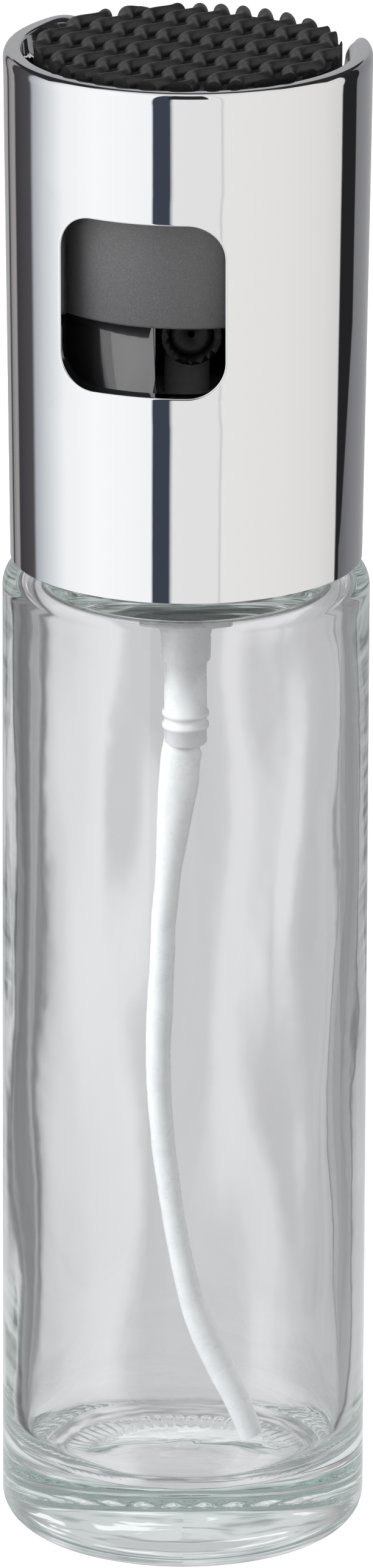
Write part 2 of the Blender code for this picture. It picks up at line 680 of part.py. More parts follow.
def dip_tube(material):
    """A bent plastic tube from the pump's socket to the edge of the floor."""
    tip_offset = NECK_BORE_R - TUBE_R - TUBE_TIP_CLEARANCE
    tip_z = FLOOR_THICKNESS + TUBE_FLOOR_CLEARANCE + TUBE_R * TUBE_TIP_LEAN
    bend_top = SOCKET_BASE - TAIL_BEAD
    points = []
    for i in range(TUBE_STEPS + 1):
        share = i / TUBE_STEPS
        z = tip_z + share * (bend_top - tip_z)
        points.append(Vector((tip_offset * route_offset(share), z)))
    points.append(Vector((0.0, SOCKET_TOP - SEAT_GAP)))
    bm = bmesh.new()
    rings = []
    for i, point in enumerate(points):
        ahead = points[min(i + 1, len(points) - 1)]
        behind = points[max(i - 1, 0)]
        along = (ahead - behind).normalized()
        if i == len(points) - 1:
            along = Vector((0.0, 1.0))
        for radius in (TUBE_R, TUBE_BORE / 2):
            ring = []
            for k in range(TUBE_SIDES):
                angle = 2 * math.pi * k / TUBE_SIDES
                side = radius * math.cos(angle)
                ring.append(bm.verts.new((
                    (point.x + side * along.y) * MM, radius * math.sin(angle) * MM,
                    (point.y - side * along.x) * MM,
                )))
            rings.append(ring)
    for a, b in list(zip(rings[0::2], rings[2::2])) + list(zip(rings[1::2], rings[3::2])):
        for k in range(TUBE_SIDES):
            bm.faces.new((a[k], a[k - 1], b[k - 1], b[k]))
    for a, b in ((rings[0], rings[1]), (rings[-2], rings[-1])):
        for k in range(TUBE_SIDES):
            bm.faces.new((a[k], a[k - 1], b[k - 1], b[k]))
    mesh = mesh_from("dip_tube", bm)
    mesh.shade_smooth()
    place("dip_tube", mesh, material, TUBE_SWEEP_ANGLE - 90.0)


# Push button

def chamber_top():
    """The valve spring's chamber in the actuator ends just above the spray channel."""
    return NOZZLE_HEIGHT + CHANNEL_DIAMETER


def actuator(material):
    hub_r = HUB_DIAMETER / 2
    outline = [
        (0.0, HUB_BASE), (hub_r, HUB_BASE), (hub_r, HUB_TOP), (SPIGOT_R, HUB_TOP),
        (SPIGOT_R, HUB_TOP + SPIGOT_HEIGHT), (0.0, HUB_TOP + SPIGOT_HEIGHT),
    ]
    body = turned("actuator", outline, PUMP_STEPS, material, NOZZLE_TURN)
    pocket = NOZZLE_REACH - NOZZLE_LENGTH - 2 * SEAT_GAP
    boss = lying(rod_mesh("nozzle_boss", NOZZLE_BOSS_DIAMETER / 2, hub_r / 2, NOZZLE_REACH, SMALL_STEPS))
    shaping(body, "UNION", boss, NOZZLE_TURN)
    stem_r = STEM_R + SEAT_GAP
    socket_top = STEM_TOP + SEAT_GAP
    chamber_r = OUTLET_CHAMBER_DIAMETER / 2
    cavity = [
        (0.0, HUB_BASE - CUT_MARGIN), (stem_r, HUB_BASE - CUT_MARGIN), (stem_r, socket_top),
        (chamber_r, socket_top), (chamber_r, chamber_top()), (0.0, chamber_top()),
    ]
    shaping(body, "DIFFERENCE", turned_mesh("stem_socket", cavity, SMALL_STEPS), NOZZLE_TURN)
    waterway = [
        (0.0, 0.0), (CHANNEL_DIAMETER / 2, 0.0), (CHANNEL_DIAMETER / 2, pocket),
        (NOZZLE_DIAMETER / 2 + SEAT_GAP, pocket), (NOZZLE_DIAMETER / 2 + SEAT_GAP, NOZZLE_REACH + CUT_MARGIN),
        (0.0, NOZZLE_REACH + CUT_MARGIN),
    ]
    shaping(body, "DIFFERENCE", lying(turned_mesh("waterway", waterway, SMALL_STEPS)), NOZZLE_TURN)


def nozzle_insert(material):
    front = NOZZLE_REACH - SEAT_GAP
    back = front - NOZZLE_LENGTH
    outer = NOZZLE_DIAMETER / 2
    orifice = ORIFICE_DIAMETER / 2
    swirl = SWIRL_DIAMETER / 2
    outline = [
        (swirl, back), (outer, back), (outer, front - SLEEVE_EDGE), (outer - SLEEVE_EDGE, front),
        (NOZZLE_DISH_DIAMETER / 2, front), (orifice, front - NOZZLE_RECESS),
        (orifice, back + SWIRL_DEPTH), (swirl, back + SWIRL_DEPTH),
    ]
    place("nozzle_insert", lying(turned_mesh("nozzle_insert", outline, SMALL_STEPS)), material, NOZZLE_TURN)


def button_cap(material):
    boss_bore = SPIGOT_R + SEAT_GAP
    boss_r = boss_bore + CAP_BOSS_WALL
    boss_base = HUB_TOP + SEAT_GAP
    spigot_room = HUB_TOP + SPIGOT_HEIGHT + SEAT_GAP
    outline = [
        (0.0, spigot_room), (boss_bore, spigot_room), (boss_bore, boss_base), (boss_r, boss_base),
        (boss_r, CAP_CEILING), (CAP_INNER_R, CAP_CEILING), (CAP_INNER_R, SKIRT_BASE),
        (CAP_R - SLEEVE_EDGE, SKIRT_BASE), (CAP_R, SKIRT_BASE + SLEEVE_EDGE),
    ]
    outline += arc(CAP_R - CAP_EDGE_RADIUS, CAP_HEIGHT - CAP_EDGE_RADIUS, CAP_EDGE_RADIUS, 0, 90, 2)
    outline.append((0.0, CAP_HEIGHT))
    cap = turned("button_cap", outline, FINE_STEPS, material)
    half = CAP_RIB_THICKNESS / 2
    inner = boss_r - CAP_BOSS_WALL / 2
    outer = CAP_R - CAP_WALL / 2
    top = CAP_HEIGHT - CAP_TOP / 2
    rib = block_mesh("cap_rib", (inner, -half, CAP_CEILING - CAP_RIB_HEIGHT), (outer, half, top))
    turns = [Matrix.Rotation(2 * math.pi * (i + 0.5) / CAP_RIBS, 4, "Z") for i in range(CAP_RIBS)]
    shaping(cap, "UNION", joined_mesh("cap_ribs", [(rib, turn) for turn in turns]))


def ridge_section():
    """Half-round bar across a ridge: sideways place and height above the pad's base."""
    half = RIDGE_WIDTH / 2
    side = [(half, -RIDGE_ROOT)] + [(half * across, RIDGE_HEIGHT * up) for across, up in RIDGE_SHARES]
    return [(-x, z) for x, z in side] + side[::-1]


def wavy_ridges():
    """Parallel ridges that snake from side to side in step, each a closed bar."""
    bm = bmesh.new()
    reach = PAD_R + CUT_MARGIN
    count = math.ceil(reach / RIDGE_PITCH)
    step = RIDGE_WAVE_LENGTH / RIDGE_STEPS_PER_WAVE
    section = ridge_section()
    for row in range(-count, count + 1):
        across = row * RIDGE_PITCH + RIDGE_SHIFT
        if abs(across) > PAD_R + RIDGE_WIDTH / 2 + RIDGE_WAVE_HEIGHT:
            continue
        half_length = math.sqrt(max(reach ** 2 - across ** 2, (2 * step) ** 2))
        steps = math.ceil(half_length / step)
        rings = []
        for i in range(-steps, steps + 1):
            along = i * step
            phase = 2 * math.pi * along / RIDGE_WAVE_LENGTH + math.radians(RIDGE_PHASE)
            middle = across + RIDGE_WAVE_HEIGHT * math.sin(phase)
            slope = RIDGE_WAVE_HEIGHT * 2 * math.pi / RIDGE_WAVE_LENGTH * math.cos(phase)
            lean = math.hypot(1.0, slope)
            ring = []
            for side, height in section:
                x = along - side * slope / lean
                y = middle + side / lean
                ring.append(bm.verts.new((x * MM, y * MM, (PAD_BASE_TOP + height) * MM)))
            rings.append(ring)
        for a, b in zip(rings, rings[1:]):
            for k in range(len(section)):
                bm.faces.new((a[k], a[k - 1], b[k - 1], b[k]))
        bm.faces.new(rings[0])
        bm.faces.new(rings[-1][::-1])
    return mesh_from("wavy_ridges", bm)


def grip_pad(material):
    disc = rod_mesh("grip_pad", PAD_R + 1.5 * CUT_MARGIN, PAD_UNDERSIDE, PAD_BASE_TOP, FINE_STEPS)
    pad = place("grip_pad", disc, material, RIDGE_ANGLE)
    shaping(pad, "UNION", wavy_ridges(), RIDGE_ANGLE)
    outline = rod_mesh("pad_outline", PAD_R, PAD_UNDERSIDE - CUT_MARGIN, PAD_TOP + CUT_MARGIN, FINE_STEPS)
    shaping(pad, "INTERSECT", outline, RIDGE_ANGLE)


def clear_scene():
    for item in list(bpy.data.objects):
        bpy.data.objects.remove(item, do_unlink=True)


def main():
    clear_scene()
    glass = finish("clear_glass", (0.86, 0.90, 0.89), 0.02, transmission=1.0)
    chrome = finish("chrome_plate", (0.86, 0.87, 0.89), 0.05, metallic=1.0)
    gloss_black = finish("gloss_black", (0.012, 0.012, 0.014), 0.12)
    satin_black = finish("satin_black", (0.01, 0.01, 0.011), 0.45)
    matte_black = finish("matte_black", (0.07, 0.07, 0.075), 0.5)
    black_rubber = finish("black_rubber", (0.02, 0.02, 0.022), 0.6)
    milky = finish("milky_plastic", (0.86, 0.88, 0.9), 0.35, transmission=0.4)
    white = finish("white_plastic", (0.9, 0.9, 0.88), 0.4)
    gasket = finish("white_gasket", (0.85, 0.85, 0.84), 0.55)
    seal = finish("seal_rubber", (0.08, 0.08, 0.08), 0.6)
    steel = finish("spring_steel", (0.62, 0.62, 0.6), 0.25, metallic=1.0)

    glass_bottle(glass)
    neck_gasket(gasket)
    closure_collar(white)
    inner_barrel(gloss_black)
    chrome_sleeve(chrome)

    pump_housing(milky)
    stem_guide(white)
    stem_seal(seal)
    ball_retainer(white)
    valve_ball("inlet_ball", INLET_BALL_R, INLET_BALL_Z, steel)
    return_spring(steel)
    piston(white)
    pump_stem(white)
    valve_ball("outlet_ball", OUTLET_BALL_DIAMETER / 2, outlet_ball_height(), steel)
    outlet_spring(steel)
    dip_tube(milky)

    actuator(satin_black)
    nozzle_insert(satin_black)
    button_cap(matte_black)
    grip_pad(black_rubber)


main()
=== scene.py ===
"""Looks for the refillable oil sprayer: clear bottle, mirror sleeve, black button and milky pump.

Everything is in the frame's metres; sizes below are millimetres. The bottle stands on z = 0, the
spray window faces -Y and the finger scoop faces +Y. Angles round the axis start at -Y and grow
towards +X.
"""

import json
import math

import bmesh
import bpy
from mathutils import Matrix, Vector, noise


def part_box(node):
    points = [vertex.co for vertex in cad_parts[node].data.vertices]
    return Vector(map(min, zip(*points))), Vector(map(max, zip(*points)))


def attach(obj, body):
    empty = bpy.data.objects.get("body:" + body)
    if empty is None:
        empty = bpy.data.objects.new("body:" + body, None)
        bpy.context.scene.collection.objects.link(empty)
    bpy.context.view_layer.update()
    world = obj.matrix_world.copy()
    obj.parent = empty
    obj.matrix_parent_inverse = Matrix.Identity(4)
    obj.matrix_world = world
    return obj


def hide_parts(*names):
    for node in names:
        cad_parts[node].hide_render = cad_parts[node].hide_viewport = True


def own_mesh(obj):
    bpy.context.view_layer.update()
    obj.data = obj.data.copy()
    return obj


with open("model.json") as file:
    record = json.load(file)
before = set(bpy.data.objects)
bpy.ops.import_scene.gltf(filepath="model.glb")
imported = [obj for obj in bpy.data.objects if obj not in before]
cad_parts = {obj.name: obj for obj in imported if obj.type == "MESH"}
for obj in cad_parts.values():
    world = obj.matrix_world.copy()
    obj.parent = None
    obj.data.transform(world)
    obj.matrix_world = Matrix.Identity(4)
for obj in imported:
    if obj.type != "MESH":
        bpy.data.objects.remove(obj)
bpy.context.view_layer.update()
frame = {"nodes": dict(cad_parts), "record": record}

MM = 0.001
MERGE_DISTANCE = 0.002

# Camera, fitted to the photograph
IMAGE_WIDTH = 612
IMAGE_HEIGHT = 2576
FOCAL_PIXELS = 23047.0
AXIS_PIXEL = 304.15
SENSOR = 36.0
CAMERA_AZIMUTH = 16.0
CAMERA_ELEVATION = 17.92
CAMERA_ROLL = 0.22
CAMERA_DISTANCE = 1613.3
TARGET_HEIGHT = 89.4

# Bottle
BOTTLE_WALL = 3.0
HEEL_RADIUS = 3.7
SHOULDER_RADIUS = 3.0
SHOULDER_HEIGHT = 116.6
SHOULDER_THICKNESS = 2.6
FLOOR_THICKNESS = 9.0
FLOOR_CORNER_RADIUS = 4.5
INNER_SHOULDER_RADIUS = 0.8
NECK_RADIUS = 13.0
NECK_BORE = 10.5
LIP_RADIUS = 0.8
NECK_ROOT_RADIUS = 1.0
PUSH_UP = 1.2
PUSH_UP_SHARES = ((0.6, 0.72), (0.85, 0.34))    # of its radius, with the share of its height there
BEARING_WIDTH = 3.2
KNURLS = 72
KNURL_HEIGHT = 0.3
STEPS_PER_KNURL = 6
INNER_WAVE = 0.3
INNER_WAVE_LEFT = 0.6       # added on the side at the camera's left
INNER_WAVE_MIDDLE = 0.35    # where the noise leaves the wall's thickness as it is
INNER_WAVE_LENGTH = 16.0
INNER_WAVE_STRETCH = 2.6
INNER_WAVE_FADE = 4.0
FLOOR_WAVE = 0.12
FLOOR_WAVE_LENGTH = 7.0
FLOOR_WAVE_SLICE = 40.0     # height at which the floor's noise is taken
SLACK = 0.01                # points this near to a surface count as on it

# Screw thread of bottle and closure
THREAD_PITCH = 3.0
THREAD_TURNS = 2.1
THREAD_HEIGHT = 0.75
THREAD_WIDTH = 1.5
THREAD_LOW = 120.6
THREAD_FADE = 30.0          # degrees over which it grows to its full height
THREAD_END_SHARE = 0.4      # of its width, where it starts to grow
THREAD_FLAT_SHARE = 0.35    # of its width, along the crest
THREAD_SUNK_SHARE = 0.3     # of its height, inside the wall
THREAD_STEPS = 96           # in one turn
COLLAR_BORE = 14.1
COLLAR_THREAD_LOW = 119.0

# Sleeve
SLEEVE_WALL = 2.05
SLEEVE_FOOT_INSET = 0.85
RIM_ROUND_WIDTH = 0.6
RIM_ROUND_HEIGHT = 1.15
RIM_ROUND_STEPS = 8
SLEEVE_EDGE = 0.3
SLEEVE_EDGE_STEPS = 4
SLEEVE_COLUMNS = 384
ROW_MARGIN = 0.15
FOOT_ROWS = (7.0, 14.0)
CLEAR_ROW_INSETS = (0.05, 0.03)     # outside and inside, for the taper
WINDOW_WIDTH = 19.2
WINDOW_HEIGHT = 20.1
WINDOW_SILL = 141.5
WINDOW_CORNER = 4.0
WINDOW_BEVEL = 0.3
WINDOW_BEVEL_STEPS = 5
WINDOW_RING_SHARES = (0.75, 0.5, 0.3, 0.15, 0.06)   # of the way from the edge out to the grid
WINDOW_RING_MARGIN = 0.05
WINDOW_PATCH_COLUMNS = 38
WINDOW_PATCH_MARGIN = 3.6
WINDOW_PATCH_ROWS = 40
SCOOP_WIDTH = 37.6
SCOOP_DEPTH = 8.5
SCOOP_END_RADIUS = 3.6
SCOOP_CLEAR_ROW = 2.4

# Grip pad
PAD_BASE = 1.7
RIDGE_HEIGHT = 1.2
RIDGE_WIDTH = 1.9
RIDGE_PITCH = 2.845
RIDGE_SHIFT = 1.48
RIDGE_WAVE_LENGTH = 7.18
RIDGE_WAVE_HEIGHT = 0.76
RIDGE_PHASE = 268.0
RIDGE_ANGLE = 77.9
RIDGE_WAVES = 6.5           # in the length of a row
RIDGE_SIDES = 20
RIDGE_STEPS = 170
PAD_SPARE = 2.0             # cut away again at the pad's edge

# Dip tube: its middle as heights and offsets along the sweep, from the tip to the socket. It is
# wider where it leaves the socket, most in the plane of the sweep
TUBE_DIAMETER = 3.0
TUBE_BORE = 1.9
TUBE_FLARE = 1.9
TUBE_FLARE_END = 18.0       # below the top of the route
TUBE_FLARE_START = 3.0
TUBE_FLARE_DEPTH = 0.3      # share of the flare across the plane
TUBE_SWEEP_ANGLE = 106.0
TUBE_WAVER = 0.07
TUBE_WAVER_LENGTH = 5.0
TUBE_SIDES = 24
TUBE_STEPS = 110
TUBE_ROUTE = (
    (10.1, 7.7), (24.4, 1.8), (40.5, -1.77), (54.8, -3.15), (70.0, -2.93), (77.6, -2.43),
    (88.5, -1.0), (94.4, -0.3),
)
SOCKET_MOUTH = 94.7
SOCKET_DEPTH = 8.4

# The two coil springs: the joint that shortens each, by how much, and which end stays
SPRINGS = {
    "return_spring": ("button_press", 5.0, "low"),
    "outlet_spring": ("outlet_ball_lift", 0.8, "high"),
}


# Node trees

class Signal:
    """A node's output that takes part in ordinary arithmetic."""

    def __init__(self, tree, socket):
        self.tree = tree
        self.socket = socket

    def math(self, operation, first, second=None):
        return self.tree.add("ShaderNodeMath", {"operation": operation}, {0: first, 1: second})

    def __add__(self, other):
        return self.math("ADD", self, other)

    def __radd__(self, other):
        return self.math("ADD", other, self)

    def __sub__(self, other):
        return self.math("SUBTRACT", self, other)

    def __rsub__(self, other):
        return self.math("SUBTRACT", other, self)

    def __mul__(self, other):
        return self.math("MULTIPLY", self, other)

    def __rmul__(self, other):
        return self.math("MULTIPLY", other, self)

    def __truediv__(self, other):
        return self.math("DIVIDE", self, other)

    def out(self, name):
        """Another output of the same node."""
        return Signal(self.tree, self.socket.node.outputs[name])


class Tree:
    """A node tree whose nodes are all added by one method."""

    def __init__(self, tree):
        self.tree = tree
        tree.nodes.clear()

    def add(self, kind, settings=None, sockets=None):
        node = self.tree.nodes.new(kind)
        for name, value in (settings or {}).items():
            if name == "stops":
                self.set_stops(node.color_ramp, value)
            else:
                setattr(node, name, value)
        for name, value in (sockets or {}).items():
            if isinstance(value, Signal):
                self.tree.links.new(value.socket, node.inputs[name])
            elif value is not None:
                node.inputs[name].default_value = value
        return Signal(self, node.outputs[0] if node.outputs else None)

    def set_stops(self, ramp, stops):
        while len(ramp.elements) > 1:
            ramp.elements.remove(ramp.elements[-1])
        ramp.elements[0].position = stops[0][0]
        ramp.elements[0].color = (*stops[0][1], 1.0)
        for position, color in stops[1:]:
            ramp.elements.new(position).color = (*color, 1.0)

    def mix(self, share, first, second):
        """A colour between two colours."""
        settings = {"data_type": "RGBA", "clamp_factor": True}
        mixed = self.add("ShaderNodeMix", settings, {0: share, 6: first, 7: second})
        return Signal(self, mixed.socket.node.outputs[2])

    def ramp(self, share, stops):
        """A colour from a row of stops, each a place and a colour."""
        return self.add("ShaderNodeValToRGB", {"stops": stops}, {0: share})

    def scaled(self, vector, share):
        return self.add("ShaderNodeVectorMath", {"operation": "SCALE"}, {0: vector, "Scale": share})

    def place(self):
        """Object coordinates in millimetres."""
        place = self.add("ShaderNodeTexCoord").out("Object")
        return self.scaled(place, 1.0 / MM)

    def noise(self, place, scale, detail=2.0, roughness=0.5):
        sockets = {"Vector": place, "Scale": scale, "Detail": detail, "Roughness": roughness}
        return self.add("ShaderNodeTexNoise", {}, sockets)

    def bump(self, height, distance, strength=1.0):
        """A bump from a height signal; the distance is in millimetres."""
        sockets = {"Height": height, "Distance": distance * MM, "Strength": strength}
        return self.add("ShaderNodeBump", {}, sockets)

    def range(self, value, low, high, to_low=0.0, to_high=1.0):
        sockets = {
            "Value": value, "From Min": low, "From Max": high, "To Min": to_low, "To Max": to_high,
        }
        return self.add("ShaderNodeMapRange", {}, sockets)

    def between(self, value, rise, fall):
        """1 between two soft edges, each given by its two ends."""
        return self.range(value, *rise) * self.range(value, *fall, 1.0, 0.0)

    def xyz(self, place):
        return self.add("ShaderNodeSeparateXYZ", {}, {0: place})

    def vector(self, **parts):
        return self.add("ShaderNodeCombineXYZ", {}, parts)

    def streaks(self, place, along, scales):
        """Noise that is wrapped round the axis and drawn out along a second measure."""
        parts = self.xyz(place)
        turned = parts.math("ARCTAN2", parts.out("Y"), parts.out("X"))
        return self.noise(self.vector(X=turned * scales[0], Y=along * scales[1]), 1.0, 3.0)

    def shaders(self, share, first, second):
        """A shader between two shaders."""
        return self.add("ShaderNodeMixShader", {}, {0: share, 1: first, 2: second})

    def emission(self, color):
        return self.add("ShaderNodeEmission", {}, {"Color": color, "Strength": 1.0})


def rgba(red, green, blue):
    return (red, green, blue, 1.0)


def surface(name, **sockets):
    """A new material with a Principled surface; its sockets are given by name with underscores."""
    material = bpy.data.materials.new(name)
    material.use_nodes = True
    tree = Tree(material.node_tree)
    named = {key.replace("_", " "): value for key, value in sockets.items()}
    shader = tree.add("ShaderNodeBsdfPrincipled", {}, named)
    tree.add("ShaderNodeOutputMaterial", {}, {"Surface": shader})
    return material, tree, shader.socket.node


def link(tree, signal, node, name):
    tree.tree.links.new(signal.socket, node.inputs[name])


def mottle(tree, shader, grain, tone, low, high, rough, bump):
    """Colour by a tone; roughness and a bump by a grain. The bump is in mm, with its strength."""
    link(tree, tree.mix(tone, rgba(*low), rgba(*high)), shader, "Base Color")
    link(tree, tree.range(grain, 0.3, 0.7, *rough), shader, "Roughness")
    link(tree, tree.bump(grain, *bump), shader, "Normal")


# Finishes

# Painted glow of the glass for rays trapped inside it: after this many mirror bounces it shows streaks
# between a deep and a pale grey
TRAPPED_AFTER = 3.5         # mirror bounces
TRAPPED_GLOW_STREAKS = (1.3, 0.55)
TRAPPED_GLOW_DEEP = (0.13, 0.145, 0.14)
TRAPPED_GLOW_PALE = (0.50, 0.55, 0.535)
LAMPLIGHT_PASSED = (0.95, 0.96, 0.955)


def clear_glass():
    material, tree, shader = surface(
        "clear_glass", Base_Color=rgba(1.0, 1.0, 1.0), Roughness=0.0, IOR=1.5, Transmission_Weight=1.0,
    )
    place = tree.place()
    ripple = tree.noise(place, 0.12, 2.0)
    link(tree, tree.bump(ripple, 0.12, 0.35), shader, "Normal")
    tint = {"Color": rgba(0.55, 0.93, 0.86), "Density": 3.0}
    absorb = tree.add("ShaderNodeVolumeAbsorption", {}, tint)
    output = next(node for node in tree.tree.nodes if node.bl_idname == "ShaderNodeOutputMaterial")
    link(tree, absorb, output, "Volume")
    # Light that keeps turning back inside the glass is replaced by a painted glow in grey streaks, a
    # stand-in for the reflections that would otherwise be lost
    rays = tree.add("ShaderNodeLightPath")
    trapped = rays.math("GREATER_THAN", rays.out("Glossy Depth"), TRAPPED_AFTER)
    painted_streak = tree.streaks(place, tree.xyz(place).out("Z"), TRAPPED_GLOW_STREAKS)
    deep, pale = [tree.emission(rgba(*color)) for color in (TRAPPED_GLOW_DEEP, TRAPPED_GLOW_PALE)]
    painted_glow = tree.shaders(tree.range(painted_streak, 0.36, 0.64), deep, pale)
    glass = tree.shaders(trapped, Signal(tree, shader.outputs[0]), painted_glow)
    # Lamps shine through it
    open_way = tree.add("ShaderNodeBsdfTransparent", {}, {"Color": rgba(*LAMPLIGHT_PASSED)})
    link(tree, tree.shaders(rays.out("Is Shadow Ray"), glass, open_way), output, "Surface")
    return material


def chrome_plate():
    material, tree, shader = surface("chrome_plate", Base_Color=rgba(0.76, 0.765, 0.775), Metallic=1.0)
    place = tree.place()
    haze = tree.noise(place, 0.25, 3.0)
    link(tree, tree.range(haze, 0.3, 0.7, 0.012, 0.035), shader, "Roughness")
    peel = tree.noise(place, 0.55, 1.0)
    link(tree, tree.bump(peel, 0.002, 0.5), shader, "Normal")
    return material


def gloss_black():
    material, tree, shader = surface(
        "gloss_black", IOR=1.8, Coat_Weight=1.0, Coat_IOR=1.8, Coat_Roughness=0.04,
    )
    place = tree.place()
    dust = tree.noise(place, 2.2, 4.0)
    link(tree, tree.range(dust, 0.3, 0.75, 0.07, 0.16), shader, "Roughness")
    dusty = tree.mix(tree.range(dust, 0.62, 0.8), rgba(0.015, 0.0145, 0.016), rgba(0.026, 0.026, 0.028))
    link(tree, dusty, shader, "Base Color")
    flow = tree.noise(place, 0.35, 1.0)
    link(tree, tree.bump(flow, 0.02, 0.4), shader, "Normal")
    return material


def matte_black():
    """Dark grey moulding with a fine spark-eroded texture."""
    material, tree, shader = surface("matte_black", Specular_IOR_Level=0.9)
    grain = tree.noise(tree.place(), 7.0, 5.0, 0.7)
    mottle(
        tree, shader, grain, tree.range(grain, 0.42, 0.66),
        (0.037, 0.035, 0.037), (0.072, 0.069, 0.072), rough=(0.46, 0.32), bump=(0.03, 0.6),
    )
    return material


def satin_black():
    """Plain black moulding of the spray block, with a soft, low sheen."""
    material, tree, shader = surface("satin_black", Specular_IOR_Level=0.3)
    grain = tree.noise(tree.place(), 2.5, 3.0)
    mottle(
        tree, shader, grain, tree.range(grain, 0.35, 0.65),
        (0.005, 0.005, 0.0055), (0.009, 0.009, 0.0095), rough=(0.42, 0.54), bump=(0.01, 0.4),
    )
    return material


def black_rubber():
    material, tree, shader = surface("black_rubber", Specular_IOR_Level=0.4)
    place = tree.place()
    grain = tree.noise(place, 3.0, 4.0, 0.6)
    bloom = tree.noise(place, 0.35, 2.0)
    mottle(
        tree, shader, grain, tree.range(grain * 0.6 + bloom * 0.4, 0.35, 0.7),
        (0.006, 0.0055, 0.0055), (0.014, 0.013, 0.013), rough=(0.30, 0.46), bump=(0.03, 0.5),
    )
    return material


def milky_plastic():
    """Natural translucent plastic, a little cloudy."""
    material, tree, shader = surface("milky_plastic", IOR=1.45, Transmission_Weight=0.06)
    cloud = tree.noise(tree.place(), 0.5, 3.0)
    mottle(
        tree, shader, cloud, tree.range(cloud, 0.35, 0.65),
        (0.80, 0.81, 0.83), (0.85, 0.855, 0.87), rough=(0.22, 0.36), bump=(0.1, 0.4),
    )
    return material


def plain_moulding(name, low, high, roughness, grain_scale):
    """Opaque plastic or rubber with a faint mottle."""
    material, tree, shader = surface(name)
    grain = tree.noise(tree.place(), grain_scale, 3.0)
    rough = (roughness - 0.06, roughness + 0.06)
    mottle(tree, shader, grain, tree.range(grain, 0.3, 0.7), low, high, rough, bump=(0.03, 0.4))
    return material


def spring_steel():
    material, tree, shader = surface("spring_steel", Metallic=1.0)
    drawn = tree.noise(tree.place(), 3.0, 4.0)
    mottle(
        tree, shader, drawn, tree.range(drawn, 0.35, 0.65),
        (0.5, 0.5, 0.49), (0.66, 0.66, 0.65), rough=(0.16, 0.32), bump=(0.01, 0.5),
    )
    return material


finishes = {
    "clear_glass": clear_glass(),
    "chrome_plate": chrome_plate(),
    "gloss_black": gloss_black(),
    "satin_black": satin_black(),
    "matte_black": matte_black(),
    "black_rubber": black_rubber(),
    "milky_plastic": milky_plastic(),
    "white_plastic": plain_moulding("white_plastic", (0.78, 0.78, 0.76), (0.84, 0.84, 0.82), 0.36, 1.4),
    "white_gasket": plain_moulding("white_gasket", (0.72, 0.72, 0.71), (0.82, 0.82, 0.81), 0.58, 3.5),
    "seal_rubber": plain_moulding("seal_rubber", (0.018, 0.018, 0.018), (0.034, 0.034, 0.034), 0.5, 2.5),
    "spring_steel": spring_steel(),
}

slot_of = {part["node"]: part["material_slot"] for part in frame["record"]["subparts"]}
body_of = {
    node: body
    for body, nodes in frame["record"]["behaviour"]["bodies"].items()
    for node in nodes
}


# Making pieces

def add_piece(name, mesh, slot, body):
    """A new piece in the scene, with its finish, on a body of the frame."""
    mesh.materials.clear()
    mesh.materials.append(finishes[slot])
    piece = bpy.data.objects.new(name, mesh)
    bpy.context.scene.collection.objects.link(piece)
    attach(piece, body)
    return piece


def stand_for(node, mesh):
    """A piece that takes the place of a node of the frame, with that node's finish and body."""
    piece = add_piece(f"{node}_look", mesh, slot_of[node], body_of[node])
    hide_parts(node)
    return piece


def smoothed(mesh, sharp_angle):
    """Shade a mesh round, apart from the edges that are sharper than an angle in degrees."""
    mesh.shade_smooth()
    mesh.set_sharp_from_angle(angle=math.radians(sharp_angle))
    return mesh


def finished_mesh(name, bm, sharp_angle=35.0):
    bmesh.ops.recalc_face_normals(bm, faces=bm.faces)
    mesh = bpy.data.meshes.new(name)
    bm.to_mesh(mesh)
    bm.free()
    return smoothed(mesh, sharp_angle)


def arc(r, z, radius, start, end, steps):
    """Points on a round corner about (r, z), from one angle to another in degrees."""
    points = []
    for i in range(steps + 1):
        angle = math.radians(start + (end - start) * i / steps)
        points.append((r + radius * math.cos(angle), z + radius * math.sin(angle)))
    return points


def straight(start, end, steps):
    """Points between two ends, without the ends."""
    return [
        (start[0] + (end[0] - start[0]) * i / steps, start[1] + (end[1] - start[1]) * i / steps)
        for i in range(1, steps)
    ]


def around(angle, r, z):
    """A point at an angle round the axis, in metres."""
    return Vector((r * math.sin(angle), -r * math.cos(angle), z)) * MM


def spun(name, outline, columns, shift=None, sharp_angle=35.0):
    """Turn an outline of (radius, height) points round the axis.

    The outline is a closed loop, or a chain whose two ends lie on the axis. The shift gives each
    point a new radius and height from its angle and its old ones.
    """
    bm = bmesh.new()
    poles = outline[0][0] == 0.0
    ring_points = outline[1:-1] if poles else outline
    rings = []
    for column in range(columns):
        angle = 2 * math.pi * column / columns
        ring = []
        for r, z in ring_points:
            if shift:
                r, z = shift(angle, r, z)
            ring.append(bm.verts.new(around(angle, r, z)))
        rings.append(ring)
    last = len(ring_points) - 1
    for a, b in zip(rings, rings[1:] + rings[:1]):
        for k in range(1 if poles else 0, last + 1):
            bm.faces.new((a[k - 1], b[k - 1], b[k], a[k]))
    if poles:
        ends = [bm.verts.new(around(0.0, 0.0, outline[e][1])) for e in (0, -1)]
        for a, b in zip(rings, rings[1:] + rings[:1]):
            bm.faces.new((ends[0], a[0], b[0]))
            bm.faces.new((ends[1], b[last], a[last]))
    return finished_mesh(name, bm, sharp_angle)


def smooth_copy(node):
    """The node's own shape with its facets merged and shaded round."""
    bm = bmesh.new()
    bm.from_mesh(frame["nodes"][node].data)
    bmesh.ops.remove_doubles(bm, verts=bm.verts, dist=MERGE_DISTANCE * MM)
    mesh = bpy.data.meshes.new(f"{node}_look")
    bm.to_mesh(mesh)
    bm.free()
    return smoothed(mesh, 30.0)


def box_mm(node):
    low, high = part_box(node)
    return low / MM, high / MM


# Glass bottle

bottle_low, bottle_high = box_mm("glass_bottle")
BOTTLE_RADIUS = (bottle_high.x - bottle_low.x) / 2
NECK_TOP = bottle_high.z
CAVITY_RADIUS = BOTTLE_RADIUS - BOTTLE_WALL
CEILING = SHOULDER_HEIGHT - SHOULDER_THICKNESS


